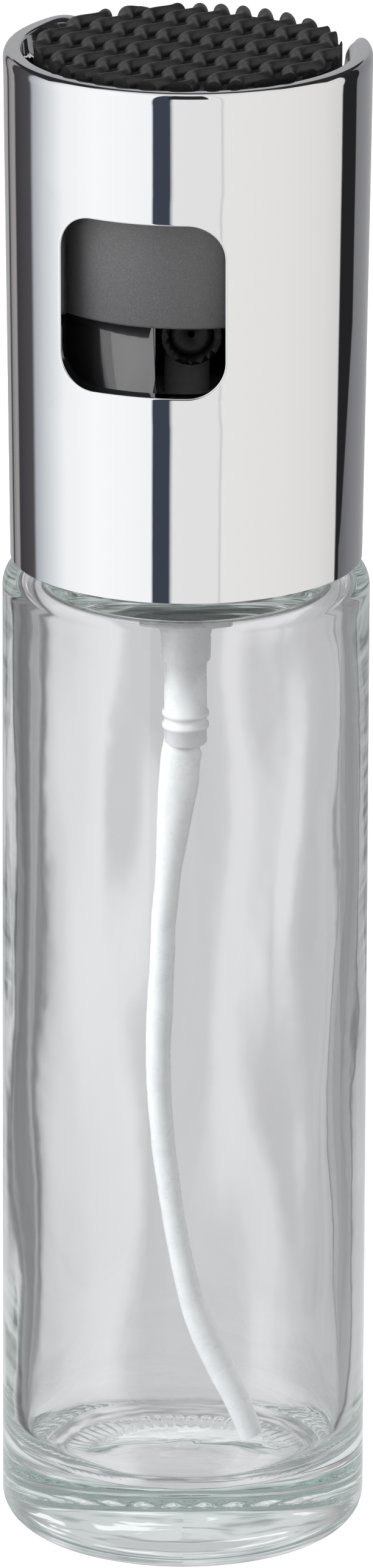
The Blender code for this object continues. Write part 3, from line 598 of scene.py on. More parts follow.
def bottle_outline():
    bearing = BOTTLE_RADIUS - HEEL_RADIUS
    ring_start = bearing - BEARING_WIDTH
    outline = [(0.0, PUSH_UP)]
    dish = [(ring_start * across, PUSH_UP * up) for across, up in PUSH_UP_SHARES]
    outline += straight((0.0, PUSH_UP), dish[0], 4)
    outline += dish
    outline.append((ring_start, 0.0))
    outline += straight((ring_start, 0.0), (bearing, 0.0), 6)
    outline += arc(bearing, HEEL_RADIUS, HEEL_RADIUS, -90, 0, 12)
    edge_z = SHOULDER_HEIGHT - SHOULDER_RADIUS
    outline += straight((BOTTLE_RADIUS, HEEL_RADIUS), (BOTTLE_RADIUS, edge_z), 16)
    outline += arc(BOTTLE_RADIUS - SHOULDER_RADIUS, edge_z, SHOULDER_RADIUS, 0, 90, 12)
    root = NECK_RADIUS + NECK_ROOT_RADIUS
    outline += arc(root, SHOULDER_HEIGHT + NECK_ROOT_RADIUS, NECK_ROOT_RADIUS, 270, 180, 4)
    outline += arc(NECK_RADIUS - LIP_RADIUS, NECK_TOP - LIP_RADIUS, LIP_RADIUS, 0, 90, 5)
    outline += arc(NECK_BORE + LIP_RADIUS, NECK_TOP - LIP_RADIUS, LIP_RADIUS, 90, 180, 5)
    outline += arc(NECK_BORE + LIP_RADIUS, CEILING + LIP_RADIUS, LIP_RADIUS, 180, 270, 5)
    wall_top = CEILING - INNER_SHOULDER_RADIUS
    outline += arc(CAVITY_RADIUS - INNER_SHOULDER_RADIUS, wall_top, INNER_SHOULDER_RADIUS, 90, 0, 10)
    wall_foot = FLOOR_THICKNESS + FLOOR_CORNER_RADIUS
    outline += straight((CAVITY_RADIUS, wall_top), (CAVITY_RADIUS, wall_foot), 44)
    floor_edge = CAVITY_RADIUS - FLOOR_CORNER_RADIUS
    outline += arc(floor_edge, wall_foot, FLOOR_CORNER_RADIUS, 0, -90, 10)
    outline += straight((floor_edge, FLOOR_THICKNESS), (0.0, FLOOR_THICKNESS), 12)
    outline.append((0.0, FLOOR_THICKNESS))
    return outline


def bottle_unevenness(angle, r, z):
    """Blown glass: the inner wall and floor wander, and knurls are pressed into the bearing ring."""
    spot = Vector((r * math.cos(angle), r * math.sin(angle), z / INNER_WAVE_STRETCH))
    above_floor = z > FLOOR_THICKNESS - SLACK
    below_ceiling = CEILING - LIP_RADIUS - z
    if above_floor and below_ceiling > 0.0 and NECK_BORE < r < CAVITY_RADIUS + SLACK:
        fade = min(1.0, below_ceiling / INNER_WAVE_FADE) * min(1.0, (r - NECK_BORE) / INNER_WAVE_FADE)
        left = 0.5 - 0.5 * math.cos(angle - math.radians(CAMERA_AZIMUTH))
        wave = INNER_WAVE + INNER_WAVE_LEFT * left * left
        swell = noise.fractal(spot / INNER_WAVE_LENGTH, 1.0, 2.0, 2)
        r += wave * fade * (swell - INNER_WAVE_MIDDLE)
    if above_floor and z < FLOOR_THICKNESS + FLOOR_CORNER_RADIUS and r < CAVITY_RADIUS:
        spot.z = FLOOR_WAVE_SLICE
        ripple = noise.fractal(spot / FLOOR_WAVE_LENGTH, 1.0, 2.0, 3)
        z += FLOOR_WAVE * (ripple - 1.0)
    bearing = BOTTLE_RADIUS - HEEL_RADIUS
    if z < SLACK and bearing - BEARING_WIDTH + SLACK < r < bearing - SLACK:
        across = (r - bearing + BEARING_WIDTH) / BEARING_WIDTH
        groove = 0.5 - 0.5 * math.cos(KNURLS * angle)
        z += KNURL_HEIGHT * groove * math.sin(math.pi * across)
    return r, z


stand_for(
    "glass_bottle",
    spun("glass_bottle_look", bottle_outline(), KNURLS * STEPS_PER_KNURL, bottle_unevenness, 50.0),
)


def thread_mesh(name, root, crest, low):
    """A screw thread as one closed bar that winds up round the axis and fades at both ends."""
    bm = bmesh.new()
    steps = int(THREAD_TURNS * THREAD_STEPS)
    fade_steps = int(THREAD_FADE / 360.0 * THREAD_STEPS)
    rings = []
    for i in range(steps + 1):
        angle = 2 * math.pi * i / THREAD_STEPS
        middle = low + THREAD_PITCH * i / THREAD_STEPS
        fade = min(1.0, (min(i, steps - i) + 1) / fade_steps)
        top = root + (crest - root) * fade
        half = THREAD_WIDTH / 2 * (THREAD_END_SHARE + (1.0 - THREAD_END_SHARE) * fade)
        flat = half * THREAD_FLAT_SHARE
        back = root - (crest - root) * THREAD_SUNK_SHARE
        outline = ((back, -half), (root, -half), (top, -flat), (top, flat), (root, half), (back, half))
        rings.append([bm.verts.new(around(angle, r, middle + z)) for r, z in outline])
    for a, b in zip(rings, rings[1:]):
        for k in range(len(a)):
            bm.faces.new((a[k - 1], b[k - 1], b[k], a[k]))
    bm.faces.new(rings[0])
    bm.faces.new(rings[-1][::-1])
    return finished_mesh(name, bm, 40.0)


add_piece(
    "neck_thread",
    thread_mesh("neck_thread", NECK_RADIUS, NECK_RADIUS + THREAD_HEIGHT, THREAD_LOW),
    "clear_glass", "bottle",
)
add_piece(
    "collar_thread",
    thread_mesh("collar_thread", COLLAR_BORE, COLLAR_BORE - THREAD_HEIGHT, COLLAR_THREAD_LOW),
    "white_plastic", "head",
)


# Mirror sleeve

sleeve_low, sleeve_high = box_mm("chrome_sleeve")
SLEEVE_TOP_RADIUS = (sleeve_high.x - sleeve_low.x) / 2
SLEEVE_BASE = sleeve_low.z
SLEEVE_TOP = sleeve_high.z
WINDOW_MIDDLE = WINDOW_SILL + WINDOW_HEIGHT / 2
PATCH_LOW = WINDOW_SILL - WINDOW_PATCH_MARGIN
PATCH_HIGH = WINDOW_SILL + WINDOW_HEIGHT + WINDOW_PATCH_MARGIN


def sleeve_radius(z, inset=0.0):
    share = (z - SLEEVE_BASE) / (SLEEVE_TOP - SLEEVE_BASE)
    return SLEEVE_TOP_RADIUS - SLEEVE_FOOT_INSET * (1.0 - share) - inset


def rim_height(x, y):
    """Height of the rim at a place: level in front, rolling over into a shallow scoop at the back."""
    half = SCOOP_WIDTH / 2
    dip_half = half - SCOOP_END_RADIUS
    end_z = SLEEVE_TOP - SCOOP_END_RADIUS
    side = abs(x)
    if y < 0 or side >= half:
        return SLEEVE_TOP
    if side > dip_half:
        return end_z + math.sqrt(SCOOP_END_RADIUS ** 2 - (half - side) ** 2)
    return end_z - (SCOOP_DEPTH - SCOOP_END_RADIUS) * math.sqrt(1.0 - (side / dip_half) ** 2)


def window_reach(x, z, grow):
    """How far along the line from the window's middle to (x, z) the grown window's edge lies."""
    half_x = WINDOW_WIDTH / 2 + grow
    half_z = WINDOW_HEIGHT / 2 + grow
    corner = WINDOW_CORNER + grow
    dx, dz = abs(x), abs(z - WINDOW_MIDDLE)
    reach = min(half_x / dx if dx else math.inf, half_z / dz if dz else math.inf)
    cx, cz = half_x - corner, half_z - corner
    if reach * dx > cx and reach * dz > cz:
        a = dx * dx + dz * dz
        b = dx * cx + dz * cz
        c = cx * cx + cz * cz - corner * corner
        reach = (b + math.sqrt(b * b - a * c)) / a
    return reach


def sleeve_mesh():
    step = (PATCH_HIGH - PATCH_LOW) / WINDOW_PATCH_ROWS
    rows = [PATCH_LOW + step * j for j in range(WINDOW_PATCH_ROWS + 1)]
    lower = [SLEEVE_BASE + up for up in (SLEEVE_EDGE + ROW_MARGIN, *FOOT_ROWS)]
    bm = bmesh.new()
    columns = []
    for column in range(SLEEVE_COLUMNS):
        angle = 2 * math.pi * column / SLEEVE_COLUMNS

        def spot(r, z):
            return bm.verts.new(around(angle, r, z))

        def below_rim(r, drop):
            return spot(r, rim_height(r * math.sin(angle), -r * math.cos(angle)) - drop)

        outer_top = SLEEVE_TOP_RADIUS
        inner_top = SLEEVE_TOP_RADIUS - SLEEVE_WALL
        foot = sleeve_radius(SLEEVE_BASE)
        ring = [
            spot(foot - SLEEVE_WALL + SLEEVE_EDGE, SLEEVE_BASE), spot(foot - SLEEVE_EDGE, SLEEVE_BASE),
            spot(foot, SLEEVE_BASE + SLEEVE_EDGE),
        ]
        ring += [spot(sleeve_radius(z), z) for z in lower]
        outer_start = len(ring)
        ring += [spot(sleeve_radius(z), z) for z in rows]
        ring.append(below_rim(outer_top - CLEAR_ROW_INSETS[0], SCOOP_CLEAR_ROW))
        ring.append(below_rim(outer_top, RIM_ROUND_HEIGHT + ROW_MARGIN))
        for i in range(RIM_ROUND_STEPS + 1):
            turn = math.radians(90.0 * i / RIM_ROUND_STEPS)
            ring.append(below_rim(
                outer_top - RIM_ROUND_WIDTH * (1.0 - math.cos(turn)),
                RIM_ROUND_HEIGHT * (1.0 - math.sin(turn)),
            ))
        for i in range(SLEEVE_EDGE_STEPS + 1):
            turn = math.radians(90.0 * i / SLEEVE_EDGE_STEPS)
            ring.append(below_rim(
                inner_top + SLEEVE_EDGE * (1.0 - math.sin(turn)), SLEEVE_EDGE * (1.0 - math.cos(turn)),
            ))
        ring.append(below_rim(inner_top - CLEAR_ROW_INSETS[1], SCOOP_CLEAR_ROW))
        inner_start = len(ring)
        ring += [spot(sleeve_radius(z, SLEEVE_WALL), z) for z in rows[::-1]]
        ring += [spot(sleeve_radius(z, SLEEVE_WALL), z) for z in lower[::-1]]
        columns.append(ring)

    patch = {(c, k) for c in range(-WINDOW_PATCH_COLUMNS, WINDOW_PATCH_COLUMNS)
             for start in (outer_start, inner_start) for k in range(start, start + WINDOW_PATCH_ROWS)}
    count = len(columns[0])
    for column in range(SLEEVE_COLUMNS):
        signed = column if column < SLEEVE_COLUMNS // 2 else column - SLEEVE_COLUMNS
        a = columns[column]
        b = columns[(column + 1) % SLEEVE_COLUMNS]
        for k in range(count):
            if (signed, k) not in patch:
                bm.faces.new((a[k], b[k], b[(k + 1) % count], a[(k + 1) % count]))

    outer_edge = window_rim(bm, columns, outer_start, 1, 0.0)
    inner_edge = window_rim(bm, columns, inner_start + WINDOW_PATCH_ROWS, -1, SLEEVE_WALL)
    bridge(bm, outer_edge, inner_edge)
    return finished_mesh("chrome_sleeve_look", bm, 32.0)


def bridge(bm, a, b):
    for k in range(len(a)):
        bm.faces.new((a[k - 1], a[k], b[k], b[k - 1]))


def window_rim(bm, columns, first_row, direction, inset):
    """Fill one wall's surface from the grid to the window and round the window's edge.

    It returns the loop of points where the straight cut begins.
    """
    half = WINDOW_PATCH_COLUMNS
    last = WINDOW_PATCH_ROWS
    walk = [(c, 0) for c in range(-half, half)] + [(half, j) for j in range(last)]
    walk += [(c, last) for c in range(half, -half, -1)] + [(-half, j) for j in range(last, 0, -1)]
    border = [columns[c % SLEEVE_COLUMNS][first_row + direction * j] for c, j in walk]
    bevel = WINDOW_BEVEL if direction > 0 else WINDOW_BEVEL / 2
    inward = 1.0 if direction > 0 else -1.0
    places = [(vert.co.x / MM, vert.co.z / MM) for vert in border]

    def loop(grow, share, depth):
        ring = []
        for x, z in places:
            reach = window_reach(x, z, grow)
            reach += (1.0 - reach) * share
            px = x * reach
            pz = WINDOW_MIDDLE + (z - WINDOW_MIDDLE) * reach
            r = sleeve_radius(pz, inset)
            py = inward * depth - math.sqrt(r * r - px * px)
            ring.append(bm.verts.new(Vector((px, py, pz)) * MM))
        return ring

    rings = [border]
    rings += [loop(bevel, share, 0.0) for share in WINDOW_RING_SHARES]
    rings += [loop(bevel + WINDOW_RING_MARGIN, 0.0, 0.0)]
    for i in range(WINDOW_BEVEL_STEPS + 1):
        turn = math.radians(90.0 * i / WINDOW_BEVEL_STEPS)
        rings.append(loop(bevel * (1.0 - math.sin(turn)), 0.0, bevel * (1.0 - math.cos(turn))))
    for a, b in zip(rings, rings[1:]):
        bridge(bm, a, b)
    return rings[-1]


stand_for("chrome_sleeve", sleeve_mesh())


# Grip pad

pad_low, pad_high = box_mm("grip_pad")
PAD_RADIUS = (pad_high.x - pad_low.x) / 2
PAD_BASE_TOP = pad_low.z + PAD_BASE


def ridge_tree():
    """Parallel bars that snake in step: one bar, bent from a cylinder, repeated across the pad."""
    group = bpy.data.node_groups.new("wavy_ridges", "GeometryNodeTree")
    tree = Tree(group)
    for name in ("Length", "Width", "Height", "Wave Length", "Wave Height", "Wave Phase",
                 "Pitch", "Shift", "Turn", "Base Height"):
        group.interface.new_socket(name, in_out="INPUT", socket_type="NodeSocketFloat")
    group.interface.new_socket("Rows", in_out="INPUT", socket_type="NodeSocketInt")
    group.interface.new_socket("Finish", in_out="INPUT", socket_type="NodeSocketMaterial")
    group.interface.new_socket("Geometry", in_out="OUTPUT", socket_type="NodeSocketGeometry")
    given = tree.add("NodeGroupInput")
    bar = tree.add("GeometryNodeMeshCylinder", {}, {
        "Vertices": RIDGE_SIDES, "Side Segments": RIDGE_STEPS, "Radius": 1.0, "Depth": 1.0,
    })
    parts = tree.xyz(tree.add("GeometryNodeInputPosition"))
    along = parts.out("Z") * given.out("Length")
    side = parts.out("X") * given.out("Width") * 0.5
    phase = along / given.out("Wave Length") * (2 * math.pi) + given.out("Wave Phase")
    wave = phase.math("SINE", phase) * given.out("Wave Height")
    steepness = given.out("Wave Height") / given.out("Wave Length") * (2 * math.pi)
    slope = phase.math("COSINE", phase) * steepness
    lean = slope.math("SQRT", slope * slope + 1.0)
    bent = tree.vector(
        X=along - side * slope / lean, Y=wave + side / lean, Z=parts.out("Y") * given.out("Height"),
    )
    bar = tree.add("GeometryNodeSetPosition", {}, {"Geometry": bar, "Position": bent})
    first_row = given.out("Pitch") * (given.out("Rows") - 1.0) * -0.5 + given.out("Shift")
    rows = tree.add("GeometryNodeMeshLine", {}, {
        "Count": given.out("Rows"),
        "Start Location": tree.vector(Y=first_row),
        "Offset": tree.vector(Y=given.out("Pitch")),
    })
    ridges = tree.add("GeometryNodeInstanceOnPoints", {}, {"Points": rows, "Instance": bar})
    turned = tree.add("GeometryNodeTransform", {}, {
        "Geometry": ridges,
        "Translation": tree.vector(Z=given.out("Base Height")),
        "Rotation": tree.vector(Z=given.out("Turn")),
    })
    real = tree.add("GeometryNodeRealizeInstances", {}, {"Geometry": turned})
    coated = tree.add("GeometryNodeSetMaterial", {}, {"Geometry": real, "Material": given.out("Finish")})
    tree.add("NodeGroupOutput", {}, {"Geometry": coated})
    return group


def set_input(modifier, name, value):
    socket = next(item for item in modifier.node_group.interface.items_tree if item.name == name)
    modifier[socket.identifier] = value


def grown_mesh(name, group, values):
    """The plain mesh that a node group makes with the given inputs."""
    maker = bpy.data.objects.new(name, bpy.data.meshes.new(name))
    bpy.context.scene.collection.objects.link(maker)
    modifier = maker.modifiers.new("make", "NODES")
    modifier.node_group = group
    for key, value in values.items():
        set_input(modifier, key, value)
    return baked(maker)


def baked(maker):
    """A plain mesh of an object with its modifiers, after which the object is removed."""
    graph = bpy.context.evaluated_depsgraph_get()
    mesh = bpy.data.meshes.new_from_object(maker.evaluated_get(graph))
    bpy.data.objects.remove(maker, do_unlink=True)
    return mesh


def boolean(mesh, operation, tool_mesh, name):
    """One mesh cut by, joined to or kept inside another."""
    target = bpy.data.objects.new(name, mesh)
    tool = bpy.data.objects.new(f"{name}_tool", tool_mesh)
    for item in (target, tool):
        bpy.context.scene.collection.objects.link(item)
    modifier = target.modifiers.new("shape", "BOOLEAN")
    modifier.operation = operation
    modifier.solver = "EXACT"
    modifier.object = tool
    result = baked(target)
    bpy.data.objects.remove(tool, do_unlink=True)
    return result


def disc(name, radius, low, high, columns):
    return spun(name, [(0.0, low), (radius, low), (radius, high), (0.0, high)], columns)


def grip_pad_mesh():
    rows = 2 * math.ceil(PAD_RADIUS / RIDGE_PITCH) + 3
    ridges = grown_mesh("pad_ridges", ridge_tree(), {
        "Length": RIDGE_WAVE_LENGTH * RIDGE_WAVES * MM,
        "Width": RIDGE_WIDTH * MM, "Height": RIDGE_HEIGHT * MM,
        "Wave Length": RIDGE_WAVE_LENGTH * MM, "Wave Height": RIDGE_WAVE_HEIGHT * MM,
        "Wave Phase": math.radians(RIDGE_PHASE), "Pitch": RIDGE_PITCH * MM, "Shift": RIDGE_SHIFT * MM,
        "Turn": math.radians(RIDGE_ANGLE), "Base Height": PAD_BASE_TOP * MM,
        "Rows": rows, "Finish": finishes["black_rubber"],
    })
    base = disc("pad_base", PAD_RADIUS + PAD_SPARE, pad_low.z, PAD_BASE_TOP, 96)
    joined = boolean(base, "UNION", ridges, "pad_joined")
    outline = disc("pad_outline", PAD_RADIUS, pad_low.z - PAD_SPARE / 2, pad_high.z + PAD_SPARE / 2, 240)
    return smoothed(boolean(joined, "INTERSECT", outline, "grip_pad_look"), 40.0)


stand_for("grip_pad", grip_pad_mesh())


# Dip tube

def tube_offset(z):
    """The tube's place along its sweep at a height, on a smooth curve through the route."""
    i = max([k for k in range(len(TUBE_ROUTE) - 1) if TUBE_ROUTE[k][0] <= z], default=0)
    (z1, s1), (z2, s2) = TUBE_ROUTE[i], TUBE_ROUTE[i + 1]
    z0, s0 = TUBE_ROUTE[max(i - 1, 0)]
    z3, s3 = TUBE_ROUTE[min(i + 2, len(TUBE_ROUTE) - 1)]
    span = z2 - z1
    slope1 = (s2 - s0) / (z2 - z0) * span
    slope2 = (s3 - s1) / (z3 - z1) * span
    t = (z - z1) / span
    return (
        (2 * t ** 3 - 3 * t ** 2 + 1) * s1 + (t ** 3 - 2 * t ** 2 + t) * slope1
        + (3 * t ** 2 - 2 * t ** 3) * s2 + (t ** 3 - t ** 2) * slope2
    )


def tube_mesh():
    """A bent tube that hangs from the pump's socket, wider where it leaves it."""
    low = TUBE_ROUTE[0][0]
    top = TUBE_ROUTE[-1][0]
    points = []
    for i in range(TUBE_STEPS + 1):
        z = low + (top - low) * i / TUBE_STEPS
        flare = (z - top + TUBE_FLARE_END) / (TUBE_FLARE_END - TUBE_FLARE_START)
        flare = min(1.0, max(0.0, flare))
        flare = flare * flare * (3.0 - 2.0 * flare) * TUBE_FLARE / 2
        waver = TUBE_WAVER * noise.noise(Vector((0.0, 0.0, z / TUBE_WAVER_LENGTH)))
        radius = TUBE_DIAMETER / 2 + waver
        points.append((tube_offset(z) + waver, z, radius + flare, radius + flare * TUBE_FLARE_DEPTH))
    points.append((0.0, SOCKET_MOUTH, TUBE_DIAMETER / 2, TUBE_DIAMETER / 2))
    points.append((0.0, SOCKET_MOUTH + SOCKET_DEPTH, TUBE_DIAMETER / 2, TUBE_DIAMETER / 2))
    turn = Matrix.Rotation(math.radians(TUBE_SWEEP_ANGLE - 90.0), 3, "Z")
    bm = bmesh.new()
    walls = ([], [])
    bore = (TUBE_BORE / 2, TUBE_BORE / 2)
    for i, (offset, z, *radii) in enumerate(points):
        before = points[max(i - 1, 0)]
        after = points[min(i + 1, len(points) - 1)]
        along = Vector((after[0] - before[0], after[1] - before[1])).normalized()
        for wall, (wide, deep) in zip(walls, (radii, bore)):
            ring = []
            for k in range(TUBE_SIDES):
                angle = 2 * math.pi * k / TUBE_SIDES
                side = wide * math.cos(angle)
                spot = Vector((offset + side * along.y, deep * math.sin(angle), z - side * along.x))
                ring.append(bm.verts.new(turn @ spot * MM))
            wall.append(ring)
    for wall in walls:
        for a, b in zip(wall, wall[1:]):
            bridge(bm, a, b)
    bridge(bm, walls[0][0], walls[1][0])
    bridge(bm, walls[0][-1], walls[1][-1])
    return finished_mesh("dip_tube_look", bm, 40.0)


stand_for("dip_tube", tube_mesh())


# The other pieces keep the frame's shapes, shaded round

for node in frame["nodes"]:
    if node not in ("glass_bottle", "chrome_sleeve", "grip_pad", "dip_tube"):
        piece = stand_for(node, smooth_copy(node))
        if node in SPRINGS:
            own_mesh(piece)


# Floor, backdrop and light

FLOOR_RADIUS = 6000.0
PALE_RADIUS = 70.0
BANDS_RADIUS = 240.0
MIRROR_GAIN = 1.25
BAND_EDGE = 0.002           # half a band's soft edge, as a share of a turn

# Brightness of the studio as mirrors show it: angle from the camera's side in degrees, colour
STUDIO = (
    (-180.0, (0.36, 0.36, 0.37)), (-155.0, (0.34, 0.34, 0.35)), (-153.0, (0.05, 0.05, 0.055)),
    (-150.5, (0.06, 0.06, 0.065)), (-149.0, (0.22, 0.21, 0.21)), (-142.0, (0.31, 0.295, 0.29)),
    (-138.5, (0.32, 0.30, 0.29)), (-137.0, (0.045, 0.042, 0.045)), (-116.0, (0.075, 0.072, 0.075)),
    (-113.0, (0.40, 0.42, 0.45)), (-106.0, (0.53, 0.55, 0.57)), (-84.0, (0.90, 0.91, 0.92)),
    (-60.0, (0.98, 0.985, 0.98)), (-22.5, (0.92, 0.93, 0.945)), (-21.5, (0.046, 0.053, 0.076)),
    (-10.5, (0.046, 0.053, 0.076)), (-9.5, (0.79, 0.785, 0.785)), (20.3, (0.78, 0.775, 0.77)),
    (20.8, (0.45, 0.45, 0.45)), (21.4, (0.81, 0.80, 0.785)), (60.0, (0.79, 0.775, 0.76)),
    (95.0, (0.74, 0.73, 0.71)), (111.5, (0.66, 0.65, 0.635)), (113.0, (0.12, 0.12, 0.125)),
    (120.0, (0.14, 0.14, 0.145)), (131.0, (0.19, 0.19, 0.2)), (150.0, (0.25, 0.25, 0.26)),
    (165.0, (0.33, 0.33, 0.34)), (180.0, (0.36, 0.36, 0.37)),
)

# A black band on the right, which grows wider with the distance
BLACK_BAND_START = 112.3
BLACK_BAND_ENDS = (116.5, 130.2)
BLACK_BAND_REACH = (379.0, 500.0)

# The ceiling and two dark walls. Heights are those of a direction, from 0 level to 1 upright; the
# walls' edges are shares of a turn from the camera's side
CEILING_HEIGHTS = (0.80, 0.95)
DARK_BEHIND = (0.27, 0.28)
DARK_FRONT = (0.035, 0.038)
DARK_FOOT = (0.34, 0.37)
DARK_TOP = (0.86, 0.90)

# Windows and shelves of the room, from one noise over turn and height
ROOM_SCALES = (16.0, 11.0)
ROOM_SHELVES = (0.36, 0.50)
ROOM_WINDOWS = (0.60, 0.64)
SHELF_SHARE = 0.75

# Painted shade in streaks on the floor under the bottle's edge, seen only in mirrors and through glass:
# radii, and scales round the axis and outwards
UNDER_BASE_SHADE_START = (15.0, 16.5)
UNDER_BASE_SHADE_END = (21.5, 24.0)
UNDER_BASE_SHADE_STREAKS = (2.4, 0.5)
UNDER_BASE_SHADE_SHARE = 0.75

# The same studio where glass bends it: broad soft zones
SEEN_THROUGH = (
    (-180.0, (0.70, 0.705, 0.71)), (-150.0, (0.66, 0.66, 0.665)), (-128.0, (0.34, 0.33, 0.315)),
    (-112.0, (0.42, 0.42, 0.41)), (-90.0, (0.74, 0.75, 0.76)), (-40.0, (0.80, 0.81, 0.82)),
    (-16.0, (0.50, 0.52, 0.54)), (10.0, (0.74, 0.74, 0.74)), (80.0, (0.72, 0.715, 0.71)),
    (112.0, (0.40, 0.41, 0.41)), (126.0, (0.30, 0.31, 0.32)), (150.0, (0.60, 0.605, 0.61)),
    (180.0, (0.70, 0.705, 0.71)),
)

# What the backdrop behind the glass shows through it: place across the view in mm, grey
BACKDROP = (
    (-40.0, 0.20), (-36.0, 0.05), (-31.5, 0.05), (-29.5, 0.13), (-27.5, 0.27), (-25.5, 0.46),
    (-23.0, 0.60), (-19.0, 0.69), (-13.5, 0.74), (-7.6, 0.76), (-6.3, 0.71), (-5.0, 0.60),
    (-3.8, 0.55), (1.9, 0.57), (3.6, 0.58), (5.0, 0.63), (6.3, 0.70), (8.2, 0.73), (10.4, 0.72),
    (11.8, 0.63), (13.2, 0.53), (16.0, 0.49), (28.0, 0.49), (34.0, 0.42), (37.0, 0.08), (40.0, 0.30),
)
BACKDROP_TINT = (1.0, 0.995, 1.025)
BACKDROP_HALF = 40.0
BACKDROP_WANDER = 1.6
BACKDROP_WANDER_SCALES = (0.13, 0.014)
BACKDROP_SIDES = (100.0, 140.0)     # from here it turns plain, and so it does in front
BACKDROP_FRONT = (-60.0, -35.0)
BACKDROP_PLAIN = (0.72, 0.72, 0.73)
BOTTLE_FOCUS = 115.0        # the hollow bottle is a weak lens that spreads what lies behind it


def backdrop_seen(tree, place):
    """Soft upright zones on the floor behind the object, wandering a little with the distance."""
    angle = math.radians(CAMERA_AZIMUTH)
    parts = tree.xyz(place)
    side = parts.out("X") * math.cos(angle) + parts.out("Y") * math.sin(angle)
    back = parts.out("Y") * math.cos(angle) - parts.out("X") * math.sin(angle)
    spread = back.math("MAXIMUM", back, 0.0) / BOTTLE_FOCUS + 1.0
    across = side / spread
    side_scale, back_scale = BACKDROP_WANDER_SCALES
    spot = tree.vector(X=across * side_scale, Y=back * back_scale)
    wander = (tree.noise(spot, 1.0, 2.0) - 0.5) * BACKDROP_WANDER
    share = tree.range(across + wander, -BACKDROP_HALF, BACKDROP_HALF)
    stops = [
        (0.5 + across_mm / BACKDROP_HALF / 2, [grey * tint for tint in BACKDROP_TINT])
        for across_mm, grey in BACKDROP
    ]
    off_side = tree.range(across.math("ABSOLUTE", across), *BACKDROP_SIDES)
    in_front = tree.range(back, *BACKDROP_FRONT, 1.0, 0.0)
    plain = off_side.math("MAXIMUM", off_side, in_front)
    return tree.mix(plain, tree.ramp(share, stops), rgba(*BACKDROP_PLAIN))


def studio_turn(tree, place):
    """The direction round the object, as a share of a turn with 0.5 at the camera's side."""
    parts = tree.xyz(place)
    turned = parts.math("ARCTAN2", parts.out("X"), parts.out("Y") * -1.0)
    turns = turned / (2 * math.pi) - CAMERA_AZIMUTH / 360.0 + 1.5
    return turns.math("FRACT", turns)


def studio_seen(tree, turn, rays, reach):
    """The studio in a direction: sharp bands in mirrors, soft zones where glass bends it.

    The reach is the distance in mm from the object to what is seen.
    """
    sharp, soft = [
        tree.ramp(turn, [(0.5 + degrees / 360.0, color) for degrees, color in bands])
        for bands in (STUDIO, SEEN_THROUGH)
    ]
    near_end, far_end = [0.5 + degrees / 360.0 for degrees in BLACK_BAND_ENDS]
    end = tree.range(reach, *BLACK_BAND_REACH, near_end, far_end)
    start = 0.5 + BLACK_BAND_START / 360.0
    band = tree.range(turn, start - BAND_EDGE, start + BAND_EDGE)
    band = band * tree.range(turn - end, -BAND_EDGE, BAND_EDGE, 1.0, 0.0)
    sharp = tree.mix(band, sharp, rgba(0.017, 0.017, 0.018))
    return tree.mix(rays.out("Is Transmission Ray"), tree.scaled(sharp, MIRROR_GAIN), soft)


def bounced(rays):
    """1 for the rays that mirrors and glass send out."""
    return rays.math("MAXIMUM", rays.out("Is Glossy Ray"), rays.out("Is Transmission Ray"))


def build_world():
    world = bpy.data.worlds.new("studio")
    world.use_nodes = True
    bpy.context.scene.world = world
    tree = Tree(world.node_tree)
    rays = tree.add("ShaderNodeLightPath")
    place = tree.add("ShaderNodeTexCoord").out("Generated")
    turn = studio_turn(tree, place)
    height = tree.xyz(place).out("Z")
    seen = studio_seen(tree, turn, rays, BLACK_BAND_REACH[1])
    seen = tree.mix(tree.range(height, *CEILING_HEIGHTS), seen, rgba(0.9, 0.9, 0.9))
    # The thick heel and shoulder gather windows and shelves into streaks
    turn_scale, height_scale = ROOM_SCALES
    room = tree.noise(tree.vector(X=turn * turn_scale, Y=height * height_scale), 1.0, 2.0)
    shelf = tree.range(room, *ROOM_SHELVES, SHELF_SHARE, 0.0)
    window = tree.range(room, *ROOM_WINDOWS)
    streaky = tree.mix(shelf, seen, rgba(0.24, 0.255, 0.27))
    streaky = tree.mix(window, streaky, rgba(1.0, 1.0, 1.0))
    seen = tree.mix(rays.out("Is Transmission Ray"), seen, streaky)
    # Mirrors also meet a dark wall behind the object and one in front
    off_middle = turn.math("ABSOLUTE", turn - 0.5)
    behind = tree.range(off_middle, *DARK_BEHIND)
    in_front = tree.range(off_middle, *DARK_FRONT, 1.0, 0.0)
    walls = behind.math("MAXIMUM", behind, in_front) * tree.between(height, DARK_FOOT, DARK_TOP)
    seen = tree.mix(walls * (1.0 - rays.out("Is Transmission Ray")), seen, rgba(0.03, 0.03, 0.033))
    color = tree.mix(bounced(rays), rgba(0.62, 0.62, 0.63), seen)
    color = tree.mix(rays.out("Is Camera Ray"), color, rgba(1.0, 1.0, 1.0))
    background = tree.add("ShaderNodeBackground", {}, {"Color": color, "Strength": 1.0})
    tree.add("ShaderNodeOutputWorld", {}, {"Surface": background})


